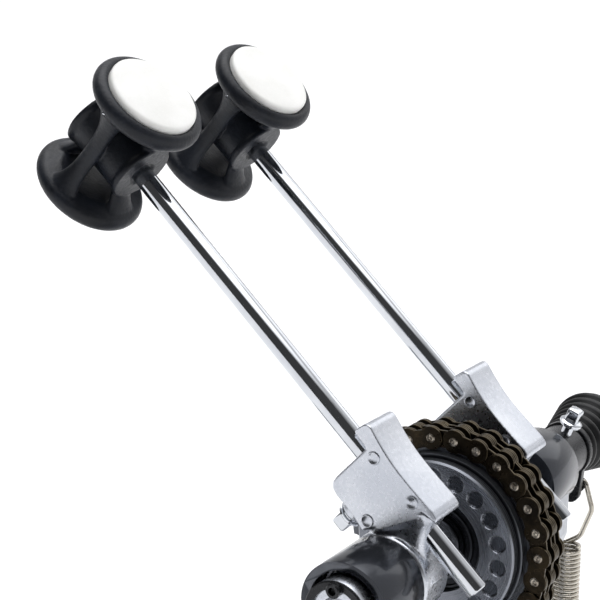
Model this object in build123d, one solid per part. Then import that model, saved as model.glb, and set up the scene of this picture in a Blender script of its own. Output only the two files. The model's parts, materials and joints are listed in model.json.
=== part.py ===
from build123d import *
import math
import os

# Twin-beater bass drum pedal, main unit. Millimetres, +Z up.
# Origin: on the floor, under the beater axle, in the chain's middle plane.
# +X is the drummer's right, +Y points at the drum.

os.makedirs("parts", exist_ok=True)

# ---------------------------------------------------------------- driving sizes
AXLE_HEIGHT = 155.0          # axle above the floor
AXLE_R = 6.0
SPIGOT_R = 3.5               # primary axle's nose, which the slave axle turns on
RUN = 0.05                   # radial running clearance
FIT = 0.02                   # radial clearance of pressed or clamped pieces
GAP = 0.4                    # side clearance between pieces that move past each other

REST_LEAN = 46.5             # beater rods lean back this many degrees at rest
BEATER_NEAR_X = 44.0
BEATER_FAR_X = -34.6
ROD_R = 4.0
ROD_OFFSET = 22.5            # rod axis in front of the axle axis
ROD_TAIL = 24.0              # rod end below the axle's level, along the rod
ROD_TOP = 200.0
HEAD_REACH = 188.4           # head centre, along the rod
HEAD_TURN = 4.2              # heads are turned this far about their rods

RIM_R = 22.7                 # beater head
HEAD_HALF = 27.5
WAIST_R = 15.0
BARREL_R = 13.0
BARREL_HALF = 15.0
INSERT_R = 17.85
INSERT_PROUD = 1.3
INSERT_DEPTH = 5.0

HUB_HALF = 9.25              # half width of a beater hub
HUB_RING_R = 17.0
HUB_TOP = 38.5               # clamp body's top face, along the rod
LIP_TOP = 46.0               # front lip, which stands above it
HUB_FRONT = 34.0             # front face, before the axle axis
HUB_BACK = 7.0               # back face
HUB_BOTTOM = 5.0
BOLT_ALONG = 26.0            # clamp bolt, along the rod
KEY_HEAD = 6.0               # square head of a drum-key bolt
KEY_BOLT_R = 2.5

PITCH = 9.525                # duplex roller chain
TEETH = 26
ROLLER_R = 2.54
ROLLER_WIDTH = 3.2
PIN_R = 1.5
PLATE = 0.9
PLATE_R = 4.6
STRAND = 3.75                # each strand's middle from the chain's middle plane
TOOTH_WIDTH = 2.9
TOOTH_TIP = 0.4              # tooth tips outside the pitch circle
WRAP_END = 103.1             # last pin on the sprocket, degrees from the top
WRAP_LINKS = 9               # links that stay on the sprocket
FREE_LINKS = 3               # links that peel off it as the board goes down
DROP_LINKS = 5

FLANGE_R = 32.7              # sprocket's near flange
FLANGE_OUT = 13.7
RECESS_R = 19.0
DIMPLES = 18
DIMPLE_R = 3.2
DIMPLE_RING = 26.6           # dimples' middles from the axle axis
SEAT_PLAY = 0.35             # tooth spaces are this much wider than a roller

HOUSING_R = 17.0             # bearing housings
HOUSING_LENGTH = 27.0
NEAR_HOUSING_X = 54.3        # inner end
FAR_HOUSING_X = -63.0
BEARING_R = 13.0
BEARING_LENGTH = 12.0
RECESS_DEPTH = 10.0
POST_THICK = 16.0
POST_FOOT = 26.0             # half length of a post's foot
BOLT_R = 2.5
BOLT_HEAD_R = 4.2
BOLT_SEAT = 9.0              # bolt heads above the beam

ROCKER_REACH = 20.0          # spring pin below the axle
ROCKER_ANGLE = 10.0
ROCKER_PIN_R = 1.8
HOOK_PLAY = 1.2              # hook's loop clears the pin by this much
SPRING_R = 7.0
SPRING_WIRE_R = 0.9
SPRING_LENGTH = 52.0
WIRE_R = 1.2
HOOK_DROP = 28.0             # coil's top below the rocker's pin
TENSION_ROD_R = 3.0
LUG_Z = 44.0

PLATE_THICK = 3.0            # base
RUBBER_THICK = 2.5
BASE_HALF = 50.0
HEEL_BACK = -290.0
HEEL_HINGE_Y = -215.0
HEEL_HINGE_Z = 17.0
BEAM_THICK = 12.0
BEAM_BACK = -28.0
BEAM_FRONT = 30.0
HINGE_PIN_R = 3.0

CLAMP_HALF = 22.0            # hoop clamp
CLAMP_FRONT = 64.0
LIP_RISE = 5.0
JAW_RISE = 12.0
JAW_GAP = 15.0
SCREW_R = 3.5

BOARD_THICK = 4.0
BOARD_TOE_HALF = 42.0
BOARD_HEEL_HALF = 31.0
TOE_PIN_RISE = 9.0           # chain pin above the board's top
TOE_PIN_R = 2.0
TOE_SLOT_R = 5.2             # open pivot: ears' holes clear the chain pin
EAR_THICK = 3.0
TOE_SCREW_X = 5.0

COLLAR_R = 11.7              # drive end
COLLAR_LENGTH = 20.0
BOOT_START_R = 11.7
BOOT_END_R = 18.0
BOOT_LENGTH = 30.0
YOKE_BORE_R = 5.0

# ---------------------------------------------------------------- derived places
BASE_TOP = RUBBER_THICK + PLATE_THICK
BEAM_TOP = BASE_TOP + BEAM_THICK
LIP_Z = BASE_TOP + LIP_RISE
JAW_HINGE_Y = BEAM_FRONT + 4.0
JAW_HINGE_Z = LIP_Z + JAW_RISE
SCREW_Y = JAW_HINGE_Y - 18.0
LEAN = math.radians(REST_LEAN)
ALONG = Vector(0, -math.sin(LEAN), math.cos(LEAN))       # up the rods
STRIKE = Vector(0, math.cos(LEAN), math.sin(LEAN))       # out of the heads' faces
AXLE = Vector(0, 0, AXLE_HEIGHT)
STEP = 360.0 / TEETH
PITCH_R = PITCH / (2 * math.sin(math.pi / TEETH))
NEAR_HOUSING_END = NEAR_HOUSING_X + HOUSING_LENGTH
FAR_HOUSING_END = FAR_HOUSING_X - HOUSING_LENGTH
NEAR_SPRING_X = NEAR_HOUSING_END + 12.0
FAR_COLLAR_X = FAR_HOUSING_END - 4.0
FAR_ROCKER_X = FAR_COLLAR_X - COLLAR_LENGTH - GAP
FAR_SPRING_X = FAR_ROCKER_X - 2.0 - 6.5
ROCKER_THICK = 4.0
BOOT_X = FAR_ROCKER_X - ROCKER_THICK - GAP
JOINT_X = BOOT_X - 23.6


def export(name, shape):
    """Writes one named sub-part; shape may be one solid or a list of solids."""
    pieces = shape if isinstance(shape, (list, tuple)) else [shape]
    solids = [s for piece in pieces for s in piece.solids()]
    whole = solids[0] if len(solids) == 1 else Compound(children=solids)
    whole.label = name
    export_step(whole, f"parts/{name}.step")


def rod_x(radius, x0, x1, y=0.0, z=0.0):
    """Round bar along X; y and z are counted from the axle axis."""
    return Pos((x0 + x1) / 2, y, AXLE_HEIGHT + z) * Rot(0, 90, 0) * Cylinder(radius, abs(x1 - x0))


def block(x0, x1, y0, y1, z0, z1):
    """Box between two corners, z from the floor."""
    return Pos((x0 + x1) / 2, (y0 + y1) / 2, (z0 + z1) / 2) * Box(x1 - x0, y1 - y0, z1 - z0)


def side_plane(x):
    """Plane across X at x, with its own x along Y and y along Z."""
    return Plane(origin=(x, 0, 0), x_dir=(0, 1, 0), z_dir=(1, 0, 0))


def hub_plane(x):
    """Plane across X through the axle axis, x towards the strike, y up the rod."""
    return Plane(origin=(x, 0, AXLE_HEIGHT), x_dir=STRIKE, z_dir=(1, 0, 0))


def lean_place(x, along, out):
    """Place on a beater: z up the rod, x out of the head's face."""
    origin = AXLE + Vector(x, 0, 0) + ALONG * along + STRIKE * out
    return Location(Plane(origin=origin, x_dir=STRIKE, z_dir=ALONG))


def bolt_place(x, along, out):
    """Place of a clamp bolt: z towards the drummer, square to the rod."""
    origin = AXLE + Vector(x, 0, 0) + ALONG * along + STRIKE * out
    return Location(Plane(origin=origin, x_dir=ALONG, z_dir=-STRIKE))


# ---------------------------------------------------------------- base and posts
def base_plate():
    plate = block(-BASE_HALF, BASE_HALF, HEEL_BACK, BEAM_FRONT, RUBBER_THICK, BASE_TOP)
    plate = fillet(plate.edges().filter_by(Axis.Z), 8)
    return plate


def base_rubber():
    sheet = block(-BASE_HALF + 2, BASE_HALF - 2, HEEL_BACK + 2, BEAM_FRONT - 2, 0, RUBBER_THICK)
    return fillet(sheet.edges().filter_by(Axis.Z), 8)


def cross_beam():
    """Front beam that ties both posts to the base and carries the hoop clamp."""
    left = FAR_HOUSING_X - HOUSING_LENGTH + 2
    right = NEAR_HOUSING_END - 2
    beam = block(left, right, BEAM_BACK, BEAM_FRONT, BASE_TOP, BEAM_TOP)
    beam = fillet(beam.edges().filter_by(Axis.Z), 6)
    lip = block(-CLAMP_HALF, CLAMP_HALF, BEAM_FRONT - 8, CLAMP_FRONT, BASE_TOP - PLATE_THICK, LIP_Z)
    beam = beam + fillet(lip.edges().filter_by(Axis.Z), 4)
    for x in (-CLAMP_HALF + 3, CLAMP_HALF - 3):
        ear = block(x - 3, x + 3, JAW_HINGE_Y - 7, JAW_HINGE_Y + 7, LIP_Z, JAW_HINGE_Z + 6)
        beam = beam + ear
    beam = beam - rod_x(HINGE_PIN_R + FIT, -CLAMP_HALF - 1, CLAMP_HALF + 1,
                        JAW_HINGE_Y, JAW_HINGE_Z - AXLE_HEIGHT)
    return beam


def post(inner_x, side):
    """Post with its bearing housing; side is +1 outwards to the right, -1 to the left."""
    outer_x = inner_x + side * HOUSING_LENGTH
    middle = (inner_x + outer_x) / 2
    shell = rod_x(HOUSING_R, inner_x, outer_x)
    half = POST_THICK / 2
    ear = HOUSING_R - 2.0
    neck = 9.0
    with BuildSketch(side_plane(middle - half)) as outline:
        with BuildLine():
            Polyline((-ear, AXLE_HEIGHT), (-ear, AXLE_HEIGHT - 26), (-neck, AXLE_HEIGHT - 42),
                     (-neck - 1, BEAM_TOP + 34), (-POST_FOOT, BEAM_TOP + 9), (-POST_FOOT, BEAM_TOP),
                     (POST_FOOT, BEAM_TOP), (POST_FOOT, BEAM_TOP + 9), (neck + 1, BEAM_TOP + 34),
                     (neck, AXLE_HEIGHT - 42), (ear, AXLE_HEIGHT - 26), (ear, AXLE_HEIGHT), close=True)
        make_face()
        fillet(outline.vertices().filter_by(lambda v: v.Z < AXLE_HEIGHT - 1), 3)
    leg = extrude(outline.sketch, POST_THICK)
    lug_x = NEAR_SPRING_X if side > 0 else FAR_SPRING_X
    arm = block(min(middle, lug_x), max(middle, lug_x), -7, 7, LUG_Z - 5, LUG_Z + 5)
    boss = Pos(lug_x, 0, LUG_Z) * Cylinder(8, 10)
    whole = shell + leg + arm + boss
    window = side_plane(middle - HOUSING_LENGTH)
    for mirror_y in (-1, 1):
        corners = [(5 * mirror_y, AXLE_HEIGHT - 20), (11 * mirror_y, AXLE_HEIGHT - 20),
                   (11 * mirror_y, AXLE_HEIGHT - 29)]
        face = window * make_face(Polyline(*corners, close=True))
        whole = whole - extrude(face, 2 * HOUSING_LENGTH)
    slot = side_plane(middle - HOUSING_LENGTH) * Pos(0, (BEAM_TOP + AXLE_HEIGHT) / 2 - 8) * SlotOverall(
        40, 8, rotation=90)
    whole = whole - extrude(slot, HOUSING_LENGTH - 4) - Pos(HOUSING_LENGTH + 4, 0, 0) * extrude(
        slot, HOUSING_LENGTH)
    whole = whole - rod_x(BEARING_R, inner_x + side * 2, outer_x)
    whole = whole - rod_x(AXLE_R + 2, inner_x - side, inner_x + side * 3)
    whole = whole - rod_x(BEARING_R + 0.8, outer_x - side * RECESS_DEPTH, outer_x + side)
    whole = whole - Pos(lug_x, 0, LUG_Z) * Cylinder(TENSION_ROD_R + FIT, 12)
    for y in (-POST_FOOT + 7, POST_FOOT - 7):
        whole = whole - Pos(middle, y, BEAM_TOP) * Cylinder(BOLT_R + FIT, 60)
        whole = whole - Pos(middle, y, BEAM_TOP + BOLT_SEAT + 20) * Cylinder(BOLT_HEAD_R + 0.4, 40)
    return whole


def bearing(inner_x, side):
    x0 = inner_x + side * 2
    ring = rod_x(BEARING_R - FIT, x0, x0 + side * BEARING_LENGTH)
    ring = ring - rod_x(AXLE_R + RUN, x0 - side, x0 + side * (BEARING_LENGTH + 1))
    groove = rod_x(BEARING_R - 2, x0 + side * (BEARING_LENGTH - 0.8), x0 + side * (BEARING_LENGTH + 1))
    groove = groove - rod_x(AXLE_R + 2, x0, x0 + side * (BEARING_LENGTH + 2))
    return ring - groove


def socket_bolt(radius, head_r, head_h, length):
    """Socket-head bolt, head's underside at z 0, shank down."""
    bolt = Pos(0, 0, head_h / 2) * Cylinder(head_r, head_h)
    bolt = bolt + Pos(0, 0, -length / 2) * Cylinder(radius, length)
    socket = extrude(Plane.XY.offset(head_h / 2) * RegularPolygon(head_r * 0.55, 6), head_h)
    return bolt - socket


def post_bolts():
    bolts = []
    for inner_x, side in ((NEAR_HOUSING_X, 1), (FAR_HOUSING_X, -1)):
        middle = inner_x + side * HOUSING_LENGTH / 2
        for y in (-POST_FOOT + 7, POST_FOOT - 7):
            seat = BEAM_TOP + BOLT_SEAT
            bolts.append(Pos(middle, y, seat) * socket_bolt(BOLT_R, BOLT_HEAD_R, 4.5, BOLT_SEAT + 8))
    return bolts


# ---------------------------------------------------------------- hoop clamp
def clamp_jaw():
    """Rocking jaw: front tip presses the hoop down on the lip."""
    half = CLAMP_HALF - 6 - GAP
    tip_z = LIP_Z + JAW_GAP
    with BuildSketch(side_plane(-half)) as outline:
        with BuildLine():
            Polyline((SCREW_Y - 7, JAW_HINGE_Z - 1), (JAW_HINGE_Y, JAW_HINGE_Z - 5),
                     (CLAMP_FRONT - 12, tip_z + 1), (CLAMP_FRONT - 2, tip_z - 0.5),
                     (CLAMP_FRONT - 2, tip_z + 4), (CLAMP_FRONT - 14, tip_z + 7),
                     (JAW_HINGE_Y + 2, JAW_HINGE_Z + 6), (SCREW_Y - 7, JAW_HINGE_Z + 5), close=True)
        make_face()
    jaw = extrude(outline.sketch, 2 * half)
    jaw = jaw - rod_x(HINGE_PIN_R + RUN, -half - 1, half + 1, JAW_HINGE_Y, JAW_HINGE_Z - AXLE_HEIGHT)
    return jaw - Pos(0, SCREW_Y, JAW_HINGE_Z) * Cylinder(SCREW_R + RUN, 30)


def clamp_pin():
    return rod_x(HINGE_PIN_R, -CLAMP_HALF, CLAMP_HALF, JAW_HINGE_Y, JAW_HINGE_Z - AXLE_HEIGHT)


def clamp_pad():
    """Rubber pad on the lip, under the hoop."""
    return block(-CLAMP_HALF + 2, CLAMP_HALF - 2, JAW_HINGE_Y + 9, CLAMP_FRONT - 1, LIP_Z, LIP_Z + 2)


def clamp_screw():
    """Wing screw through the jaw's tail: its tip bears on the beam and lifts the tail."""
    tip = BEAM_TOP + 0.3
    shank = Pos(0, SCREW_Y, tip + 11) * Cylinder(SCREW_R, 22)
    head = Pos(0, SCREW_Y, tip + 21) * Cylinder(6.5, 7)
    wings = block(-15, 15, SCREW_Y - 2, SCREW_Y + 2, tip + 18.5, tip + 25)
    wings = fillet(wings.edges().filter_by(Axis.Y), 3)
    return shank + head + wings


# ---------------------------------------------------------------- axles
def primary_axle():
    bar = rod_x(AXLE_R, -9, NEAR_HOUSING_END - 2)
    return bar + rod_x(SPIGOT_R, -24, -8)


def slave_axle():
    bar = rod_x(AXLE_R, JOINT_X + 14, -9 - GAP)
    return bar - rod_x(SPIGOT_R + 1.5, -26, -9)


def axle_bush():
    bush = rod_x(SPIGOT_R + 1.5 - FIT, -26, -10)
    return bush - rod_x(SPIGOT_R + RUN, -27, -9)


def hub(x):
    """Beater holder: ring on the axle, neck, and clamp body with a raised front lip."""
    x0 = x - HUB_HALF
    with BuildSketch(hub_plane(x0)) as outline:
        with BuildLine():
            Polyline((HUB_BACK, HUB_TOP - 5), (HUB_BACK, BOLT_ALONG - 7), (5.5, 16), (-HUB_RING_R + 2, 4),
                     (0, 0), (16, -5), (HUB_FRONT - 9, 3), (HUB_FRONT - 1, 3),
                     (HUB_FRONT + 0.6, 7), (HUB_FRONT - 0.5, 28), (HUB_FRONT + 2.6, LIP_TOP - 3),
                     (HUB_FRONT - 4, LIP_TOP), (HUB_FRONT - 4, HUB_TOP), (HUB_BACK + 5, HUB_TOP),
                     close=True)
        make_face()
    body = extrude(outline.sketch, 2 * HUB_HALF)
    body = body + rod_x(HUB_RING_R, x0, x0 + 2 * HUB_HALF)
    boss = bolt_place(x, BOLT_ALONG, HUB_BACK - 2) * Cylinder(6.5, 6)
    body = body + boss
    tail_room = lean_place(x, -10, ROD_OFFSET) * Cylinder(ROD_R + 1.2, 28)
    rod_hole = lean_place(x, 20, ROD_OFFSET) * Cylinder(ROD_R + RUN, 80)
    bolt_hole = bolt_place(x, BOLT_ALONG, HUB_BACK + 4) * Cylinder(KEY_BOLT_R + FIT, 24)
    bore = rod_x(AXLE_R + FIT, x0 - 1, x0 + 2 * HUB_HALF + 1)
    return body - tail_room - rod_hole - bolt_hole - bore


def key_bolt(place, shank):
    """Drum-key bolt: square domed head, washer, shank down to z minus shank."""
    head = Pos(0, 0, 4.5) * Box(KEY_HEAD, KEY_HEAD, 8)
    head = fillet(head.edges().filter_by(Axis.Z), 0.8)
    flange = Pos(0, 0, 1.6) * Cylinder(5, 1.6)
    washer = Pos(0, 0, 0.4) * Cylinder(4.4, 0.8)
    stem = Pos(0, 0, -shank / 2) * Cylinder(KEY_BOLT_R, shank)
    return place * (head + flange + washer + stem)


def hub_bolt(x):
    reach = ROD_OFFSET - ROD_R - RUN - 0.1 - (HUB_BACK - 5)
    return key_bolt(bolt_place(x, BOLT_ALONG, HUB_BACK - 5), reach)


def rod(x):
    length = ROD_TOP + ROD_TAIL
    bar = lean_place(x, (ROD_TOP - ROD_TAIL) / 2, ROD_OFFSET) * Cylinder(ROD_R, length)
    return chamfer(bar.edges().filter_by(GeomType.CIRCLE), 0.6)


# ---------------------------------------------------------------- beater heads
def head_place(x):
    """Head centre: z out of the striking face, x up the rod, turned about the rod."""
    out = STRIKE.rotate(Axis((0, 0, 0), ALONG), HEAD_TURN)
    if out.X < 0:
        out = STRIKE.rotate(Axis((0, 0, 0), ALONG), -HEAD_TURN)
    origin = AXLE + Vector(x, 0, 0) + ALONG * HEAD_REACH + STRIKE * ROD_OFFSET
    return Location(Plane(origin=origin, x_dir=ALONG, z_dir=out))


def head(x):
    """Moulded spool: two rimmed discs, four struts between them and a barrel on the rod."""
    disc_inner = HEAD_HALF - 9
    with BuildSketch(Plane.XZ) as profile:
        with BuildLine():
            top = Line((0, HEAD_HALF), (RIM_R - 4, HEAD_HALF))
            rim = ThreePointArc(top @ 1, (RIM_R, HEAD_HALF - 4), (RIM_R - 3.5, HEAD_HALF - 8))
            waist = ThreePointArc(rim @ 1, (WAIST_R, 0), (RIM_R - 3.5, -HEAD_HALF + 8))
            low = ThreePointArc(waist @ 1, (RIM_R, -HEAD_HALF + 4), (RIM_R - 4, -HEAD_HALF))
            Line(low @ 1, (0, -HEAD_HALF))
            Line((0, -HEAD_HALF), (0, HEAD_HALF))
        make_face()
    spool = revolve(profile.sketch, Axis.Z)
    spool = spool - Pos(0, 0, -HEAD_HALF) * Cylinder(RIM_R - 7, 14)
    for turn in (0, 90):
        spool = spool - Rot(0, 0, turn + 45) * extrude(
            Plane.YZ.offset(-RIM_R - 5) * RectangleRounded(11, 2 * disc_inner - 4, 5), 2 * RIM_R + 10)
    spool = spool + Rot(0, 90, 0) * Cylinder(BARREL_R, 2 * BARREL_HALF)
    spool = spool - Rot(0, 90, 0) * Cylinder(ROD_R + FIT, 4 * BARREL_HALF)
    spool = spool - Pos(0, 0, HEAD_HALF) * Cylinder(INSERT_R + FIT, 2 * (INSERT_DEPTH - INSERT_PROUD))
    return head_place(x) * spool


def insert(x):
    """Hard white striking disc, slightly domed."""
    disc = Pos(0, 0, HEAD_HALF + INSERT_PROUD - INSERT_DEPTH / 2) * Cylinder(INSERT_R, INSERT_DEPTH)
    disc = fillet(disc.edges().filter_by(GeomType.CIRCLE).sort_by(Axis.Z)[-1], 0.9)
    return head_place(x) * disc


# ---------------------------------------------------------------- sprocket and chain
def chain_point(pin):
    """Chain pin by number: 0 is the first on the sprocket, then round it and down."""
    last = WRAP_LINKS + FREE_LINKS
    end = math.radians(WRAP_END)
    if pin <= last:
        angle = end - (last - pin) * math.radians(STEP)
        return Vector(0, PITCH_R * math.sin(angle), AXLE_HEIGHT + PITCH_R * math.cos(angle))
    down = Vector(0, math.cos(end), -math.sin(end))
    return chain_point(last) + down * (PITCH * (pin - last))


def sprocket():
    """Dished duplex sprocket with a recessed, dimpled near flange."""
    core_r = min(PITCH_R - PLATE_R - 0.6, PITCH_R - ROLLER_R - 1.5)
    ring = rod_x(core_r, -STRAND - TOOTH_WIDTH / 2, FLANGE_OUT - 4)
    for strand in (-STRAND, STRAND):
        ring = ring + rod_x(PITCH_R + TOOTH_TIP, strand - TOOTH_WIDTH / 2, strand + TOOTH_WIDTH / 2)
    flange = rod_x(FLANGE_R, FLANGE_OUT - 6, FLANGE_OUT)
    ring = ring + chamfer(flange.edges().filter_by(GeomType.CIRCLE).sort_by(Axis.X)[-1], 1.8)
    ring = ring - rod_x(RECESS_R, FLANGE_OUT - 3.5, FLANGE_OUT + 1)
    ring = ring + rod_x(10, -STRAND - TOOTH_WIDTH / 2 - 3, FLANGE_OUT - 1)
    first = WRAP_END - (WRAP_LINKS + FREE_LINKS) * STEP
    seat_r = ROLLER_R + SEAT_PLAY
    for tooth in range(TEETH):
        angle = math.radians(first + tooth * STEP)
        space = Pos(0, PITCH_R * math.sin(angle), AXLE_HEIGHT + PITCH_R * math.cos(angle))
        notch = extrude(Plane.YZ.offset(-12) * Rot(0, 0, 90 - math.degrees(angle)) * Pos(3.0, 0)
                        * SlotOverall(6 + 2 * seat_r, 2 * seat_r), 19.5)
        ring = ring - space * notch
    for mark in range(DIMPLES):
        angle = math.radians(18.5 + mark * 360.0 / DIMPLES)
        ring = ring - rod_x(DIMPLE_R, FLANGE_OUT - 0.8, FLANGE_OUT + 1,
                            DIMPLE_RING * math.sin(angle), DIMPLE_RING * math.cos(angle))
    return ring - rod_x(AXLE_R + FIT, -20, 20)


def link_plate(hole_r, x):
    """Figure-eight side plate, centred on x, from pin (0, 0) to pin (PITCH, 0)."""
    waist = Pos(PITCH / 2, 0) * Rectangle(PITCH, 2 * PLATE_R - 2.2)
    face = Circle(PLATE_R) + Pos(PITCH, 0) * Circle(PLATE_R) + waist
    face = face - Circle(hole_r) - Pos(PITCH, 0) * Circle(hole_r) if hole_r else face
    return extrude(Plane.YZ.offset(x - PLATE / 2) * face, PLATE)


def outer_link():
    """Four outer plates and two pins across both strands, one piece."""
    out = ROLLER_WIDTH / 2 + PLATE * 1.5 + 0.2
    reach = STRAND + out + PLATE / 2 + 0.4
    link = Pos(0, 0, 0) * Rot(0, 90, 0) * Cylinder(PIN_R, 2 * reach)
    link = link + Pos(0, PITCH, 0) * Rot(0, 90, 0) * Cylinder(PIN_R, 2 * reach)
    for strand in (-STRAND, STRAND):
        for side in (-out, out):
            link = link + link_plate(0, strand + side)
    return [link]


def inner_link():
    """Two strands of inner plates with their rollers."""
    strands = []
    for strand in (-STRAND, STRAND):
        piece = None
        for side in (-1, 1):
            plate = link_plate(PIN_R + RUN, strand + side * (ROLLER_WIDTH + PLATE) / 2)
            piece = plate if piece is None else piece + plate
        for y in (0, PITCH):
            tube = Rot(0, 90, 0) * Cylinder(ROLLER_R, ROLLER_WIDTH)
            tube = tube - Rot(0, 90, 0) * Cylinder(PIN_R + RUN, ROLLER_WIDTH + 2)
            piece = piece + Pos(strand, y, 0) * tube
        strands.append(piece)
    return strands


def chain_run(first, count):
    """Solids of count links from pin number first; odd links are inner ones."""
    solids = []
    for number in range(first, first + count):
        start, end = chain_point(number), chain_point(number + 1)
        way = (end - start).normalized()
        place = Location(Plane(origin=start, x_dir=(1, 0, 0), z_dir=Vector(1, 0, 0).cross(way)))
        for piece in (INNER if number % 2 else OUTER):
            solids.append(place * piece)
    return solids


OUTER = outer_link()
INNER = inner_link()


# ---------------------------------------------------------------- springs
def rocker_pin_point():
    angle = math.radians(ROCKER_ANGLE)
    return ROCKER_REACH * math.sin(angle), -ROCKER_REACH * math.cos(angle)


def spring_top():
    return AXLE_HEIGHT + rocker_pin_point()[1] - HOOK_DROP


def rocker(x0, x1, hub_r, arm_x0, arm_x1, pin_x1):
    """Hub on the axle with a hanging arm and a pin for the spring's hook."""
    y, z = rocker_pin_point()
    arm_plane = Plane(origin=(arm_x0, 0, AXLE_HEIGHT), x_dir=(0, 1, 0), z_dir=(1, 0, 0))
    ends = Sketch() + Circle(hub_r * 0.8) + Pos(y, z) * Circle(4.5)
    web = make_hull(ends.edges())
    body = rod_x(hub_r, x0, x1) + extrude(arm_plane * web, arm_x1 - arm_x0)
    body = body + rod_x(ROCKER_PIN_R, min(arm_x0, pin_x1), max(arm_x1, pin_x1), y, z)
    flange = 1.0 if pin_x1 > x1 else -1.0
    body = body + rod_x(3.0, pin_x1, pin_x1 + flange, y, z)
    return body - rod_x(AXLE_R + FIT, x0 - 30, x1 + 30)


def hook(x):
    """Wire hook on the rocker's pin: round the pin, bowed out, and back under the axle."""
    y, z = rocker_pin_point()
    turn = ROCKER_PIN_R + WIRE_R + HOOK_PLAY
    top = AXLE_HEIGHT + z
    points = [(x, y - turn, top - 3), (x, y - turn, top + turn), (x, y + turn, top + turn),
              (x, y + turn + 4, top - 9), (x, y + 3, top - 23), (x, y - 3, top - 27)]
    path = FilletPolyline(*points, radius=[3.6, 3.6, 6, 6])
    section = Plane(origin=path @ 0, z_dir=path % 0) * Circle(WIRE_R)
    return sweep(section, path=path)


def spring(x):
    """Coil spring's envelope, hollow, between the hook and the tension rod."""
    middle = spring_top() - SPRING_LENGTH / 2
    body = Cylinder(SPRING_R, SPRING_LENGTH) - Cylinder(SPRING_R - 2 * SPRING_WIRE_R, SPRING_LENGTH + 2)
    return Pos(x, 0, middle) * body


def tension_rod(x):
    """Threaded eye rod through the post's lug, with its eye inside the spring's end."""
    top = spring_top() - SPRING_LENGTH - 2
    return Pos(x, 0, (top + LUG_Z - 18) / 2) * Cylinder(TENSION_ROD_R, top - LUG_Z + 18)


def tension_nuts(x):
    """Knurled nut under the lug and lock nut over it."""
    low = Pos(x, 0, LUG_Z - 5 - 4) * Cylinder(8, 7.5)
    high = extrude(Plane.XY.offset(LUG_Z + 5.3) * RegularPolygon(5.5, 6), 4)
    high = Pos(x, 0, 0) * high
    return [piece - Pos(x, 0, LUG_Z) * Cylinder(TENSION_ROD_R + FIT, 60) for piece in (low, high)]


# ---------------------------------------------------------------- drive end
def drive_collar():
    collar = rod_x(COLLAR_R, FAR_COLLAR_X - COLLAR_LENGTH, FAR_COLLAR_X)
    place = collar_bolt_place()
    collar = collar - rod_x(AXLE_R + FIT, FAR_COLLAR_X - 40, FAR_COLLAR_X + 1)
    return collar - place * Cylinder(KEY_BOLT_R + FIT, 30)


def collar_bolt_place():
    angle = math.radians(21.5)
    way = Vector(0, math.sin(angle), math.cos(angle))
    origin = AXLE + Vector(FAR_COLLAR_X - COLLAR_LENGTH * 0.6, 0, 0) + way * (COLLAR_R + 4.2)
    return Location(Plane(origin=origin, x_dir=(1, 0, 0), z_dir=way))


def boot():
    """Ribbed rubber cover of the universal joint, flaring outwards."""
    ribs = 6
    rib = BOOT_LENGTH / ribs
    points = [(0, BOOT_START_R - 2)]
    for number in range(ribs):
        outer = BOOT_START_R + (BOOT_END_R - BOOT_START_R) * (number + 0.3) / ribs
        points += [(rib * (number + 0.25), outer), (rib * (number + 0.75), outer),
                   (rib * (number + 1), outer - 1)]
    inner = [(BOOT_LENGTH, BOOT_END_R - 3.2), (2.5, BOOT_START_R - 2.6),
             (2.5, AXLE_R + 0.5), (0, AXLE_R + 0.5)]
    face = make_face(Polyline(*points, *inner, close=True))
    shell = revolve(Plane.XY * face, Axis.X)
    return Pos(BOOT_X, 0, AXLE_HEIGHT) * Rot(0, 0, 180) * shell


def inner_yoke():
    """Fork on the slave axle's end, its ears along Z."""
    body = rod_x(9.0, JOINT_X + 8, JOINT_X + 18)
    for z in (-1, 1):
        ear = block(JOINT_X - 5, JOINT_X + 9, -4.5, 4.5, 0, 3)
        body = body + Pos(0, 0, AXLE_HEIGHT + (6.4 if z > 0 else -9.4)) * ear
    body = body - rod_x(AXLE_R + FIT, JOINT_X + 13.5, JOINT_X + 30)
    return body - Pos(JOINT_X, 0, AXLE_HEIGHT) * Cylinder(2.0 + RUN, 40)


def joint_cross():
    centre = Pos(JOINT_X, 0, AXLE_HEIGHT)
    return centre * (Box(9, 9, 9) + Cylinder(2.0, 19) + Rot(90, 0, 0) * Cylinder(2.0, 19))


def outer_yoke():
    """Fork that takes the drive shaft: ears along Y, socket outwards."""
    end = JOINT_X - 34
    body = rod_x(9.0, end, JOINT_X - 9)
    for y in (-1, 1):
        y0 = 6.4 if y > 0 else -9.4
        body = body + block(JOINT_X - 10, JOINT_X + 5, y0, y0 + 3, AXLE_HEIGHT - 4.5, AXLE_HEIGHT + 4.5)
    body = body - rod_x(YOKE_BORE_R, end - 1, end + 20)
    return body - Pos(JOINT_X, 0, AXLE_HEIGHT) * Rot(90, 0, 0) * Cylinder(2.0 + RUN, 40)


# ---------------------------------------------------------------- footboard
def board_frame():
    """Board's own place: x right, y up the board from the heel hinge, z out of its top."""
    pin = chain_point(WRAP_LINKS + FREE_LINKS + DROP_LINKS)
    run, rise = pin.Y - HEEL_HINGE_Y, pin.Z - HEEL_HINGE_Z
    reach = math.hypot(run, rise)
    slope = math.atan2(rise, run) - math.asin(TOE_PIN_RISE / reach)
    along = math.sqrt(reach ** 2 - TOE_PIN_RISE ** 2)
    way = Vector(0, math.cos(slope), math.sin(slope))
    place = Location(Plane(origin=(0, HEEL_HINGE_Y, HEEL_HINGE_Z), x_dir=(1, 0, 0),
                           z_dir=Vector(1, 0, 0).cross(way)))
    return place, along


BOARD_PLACE, TOE_ALONG = board_frame()


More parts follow.
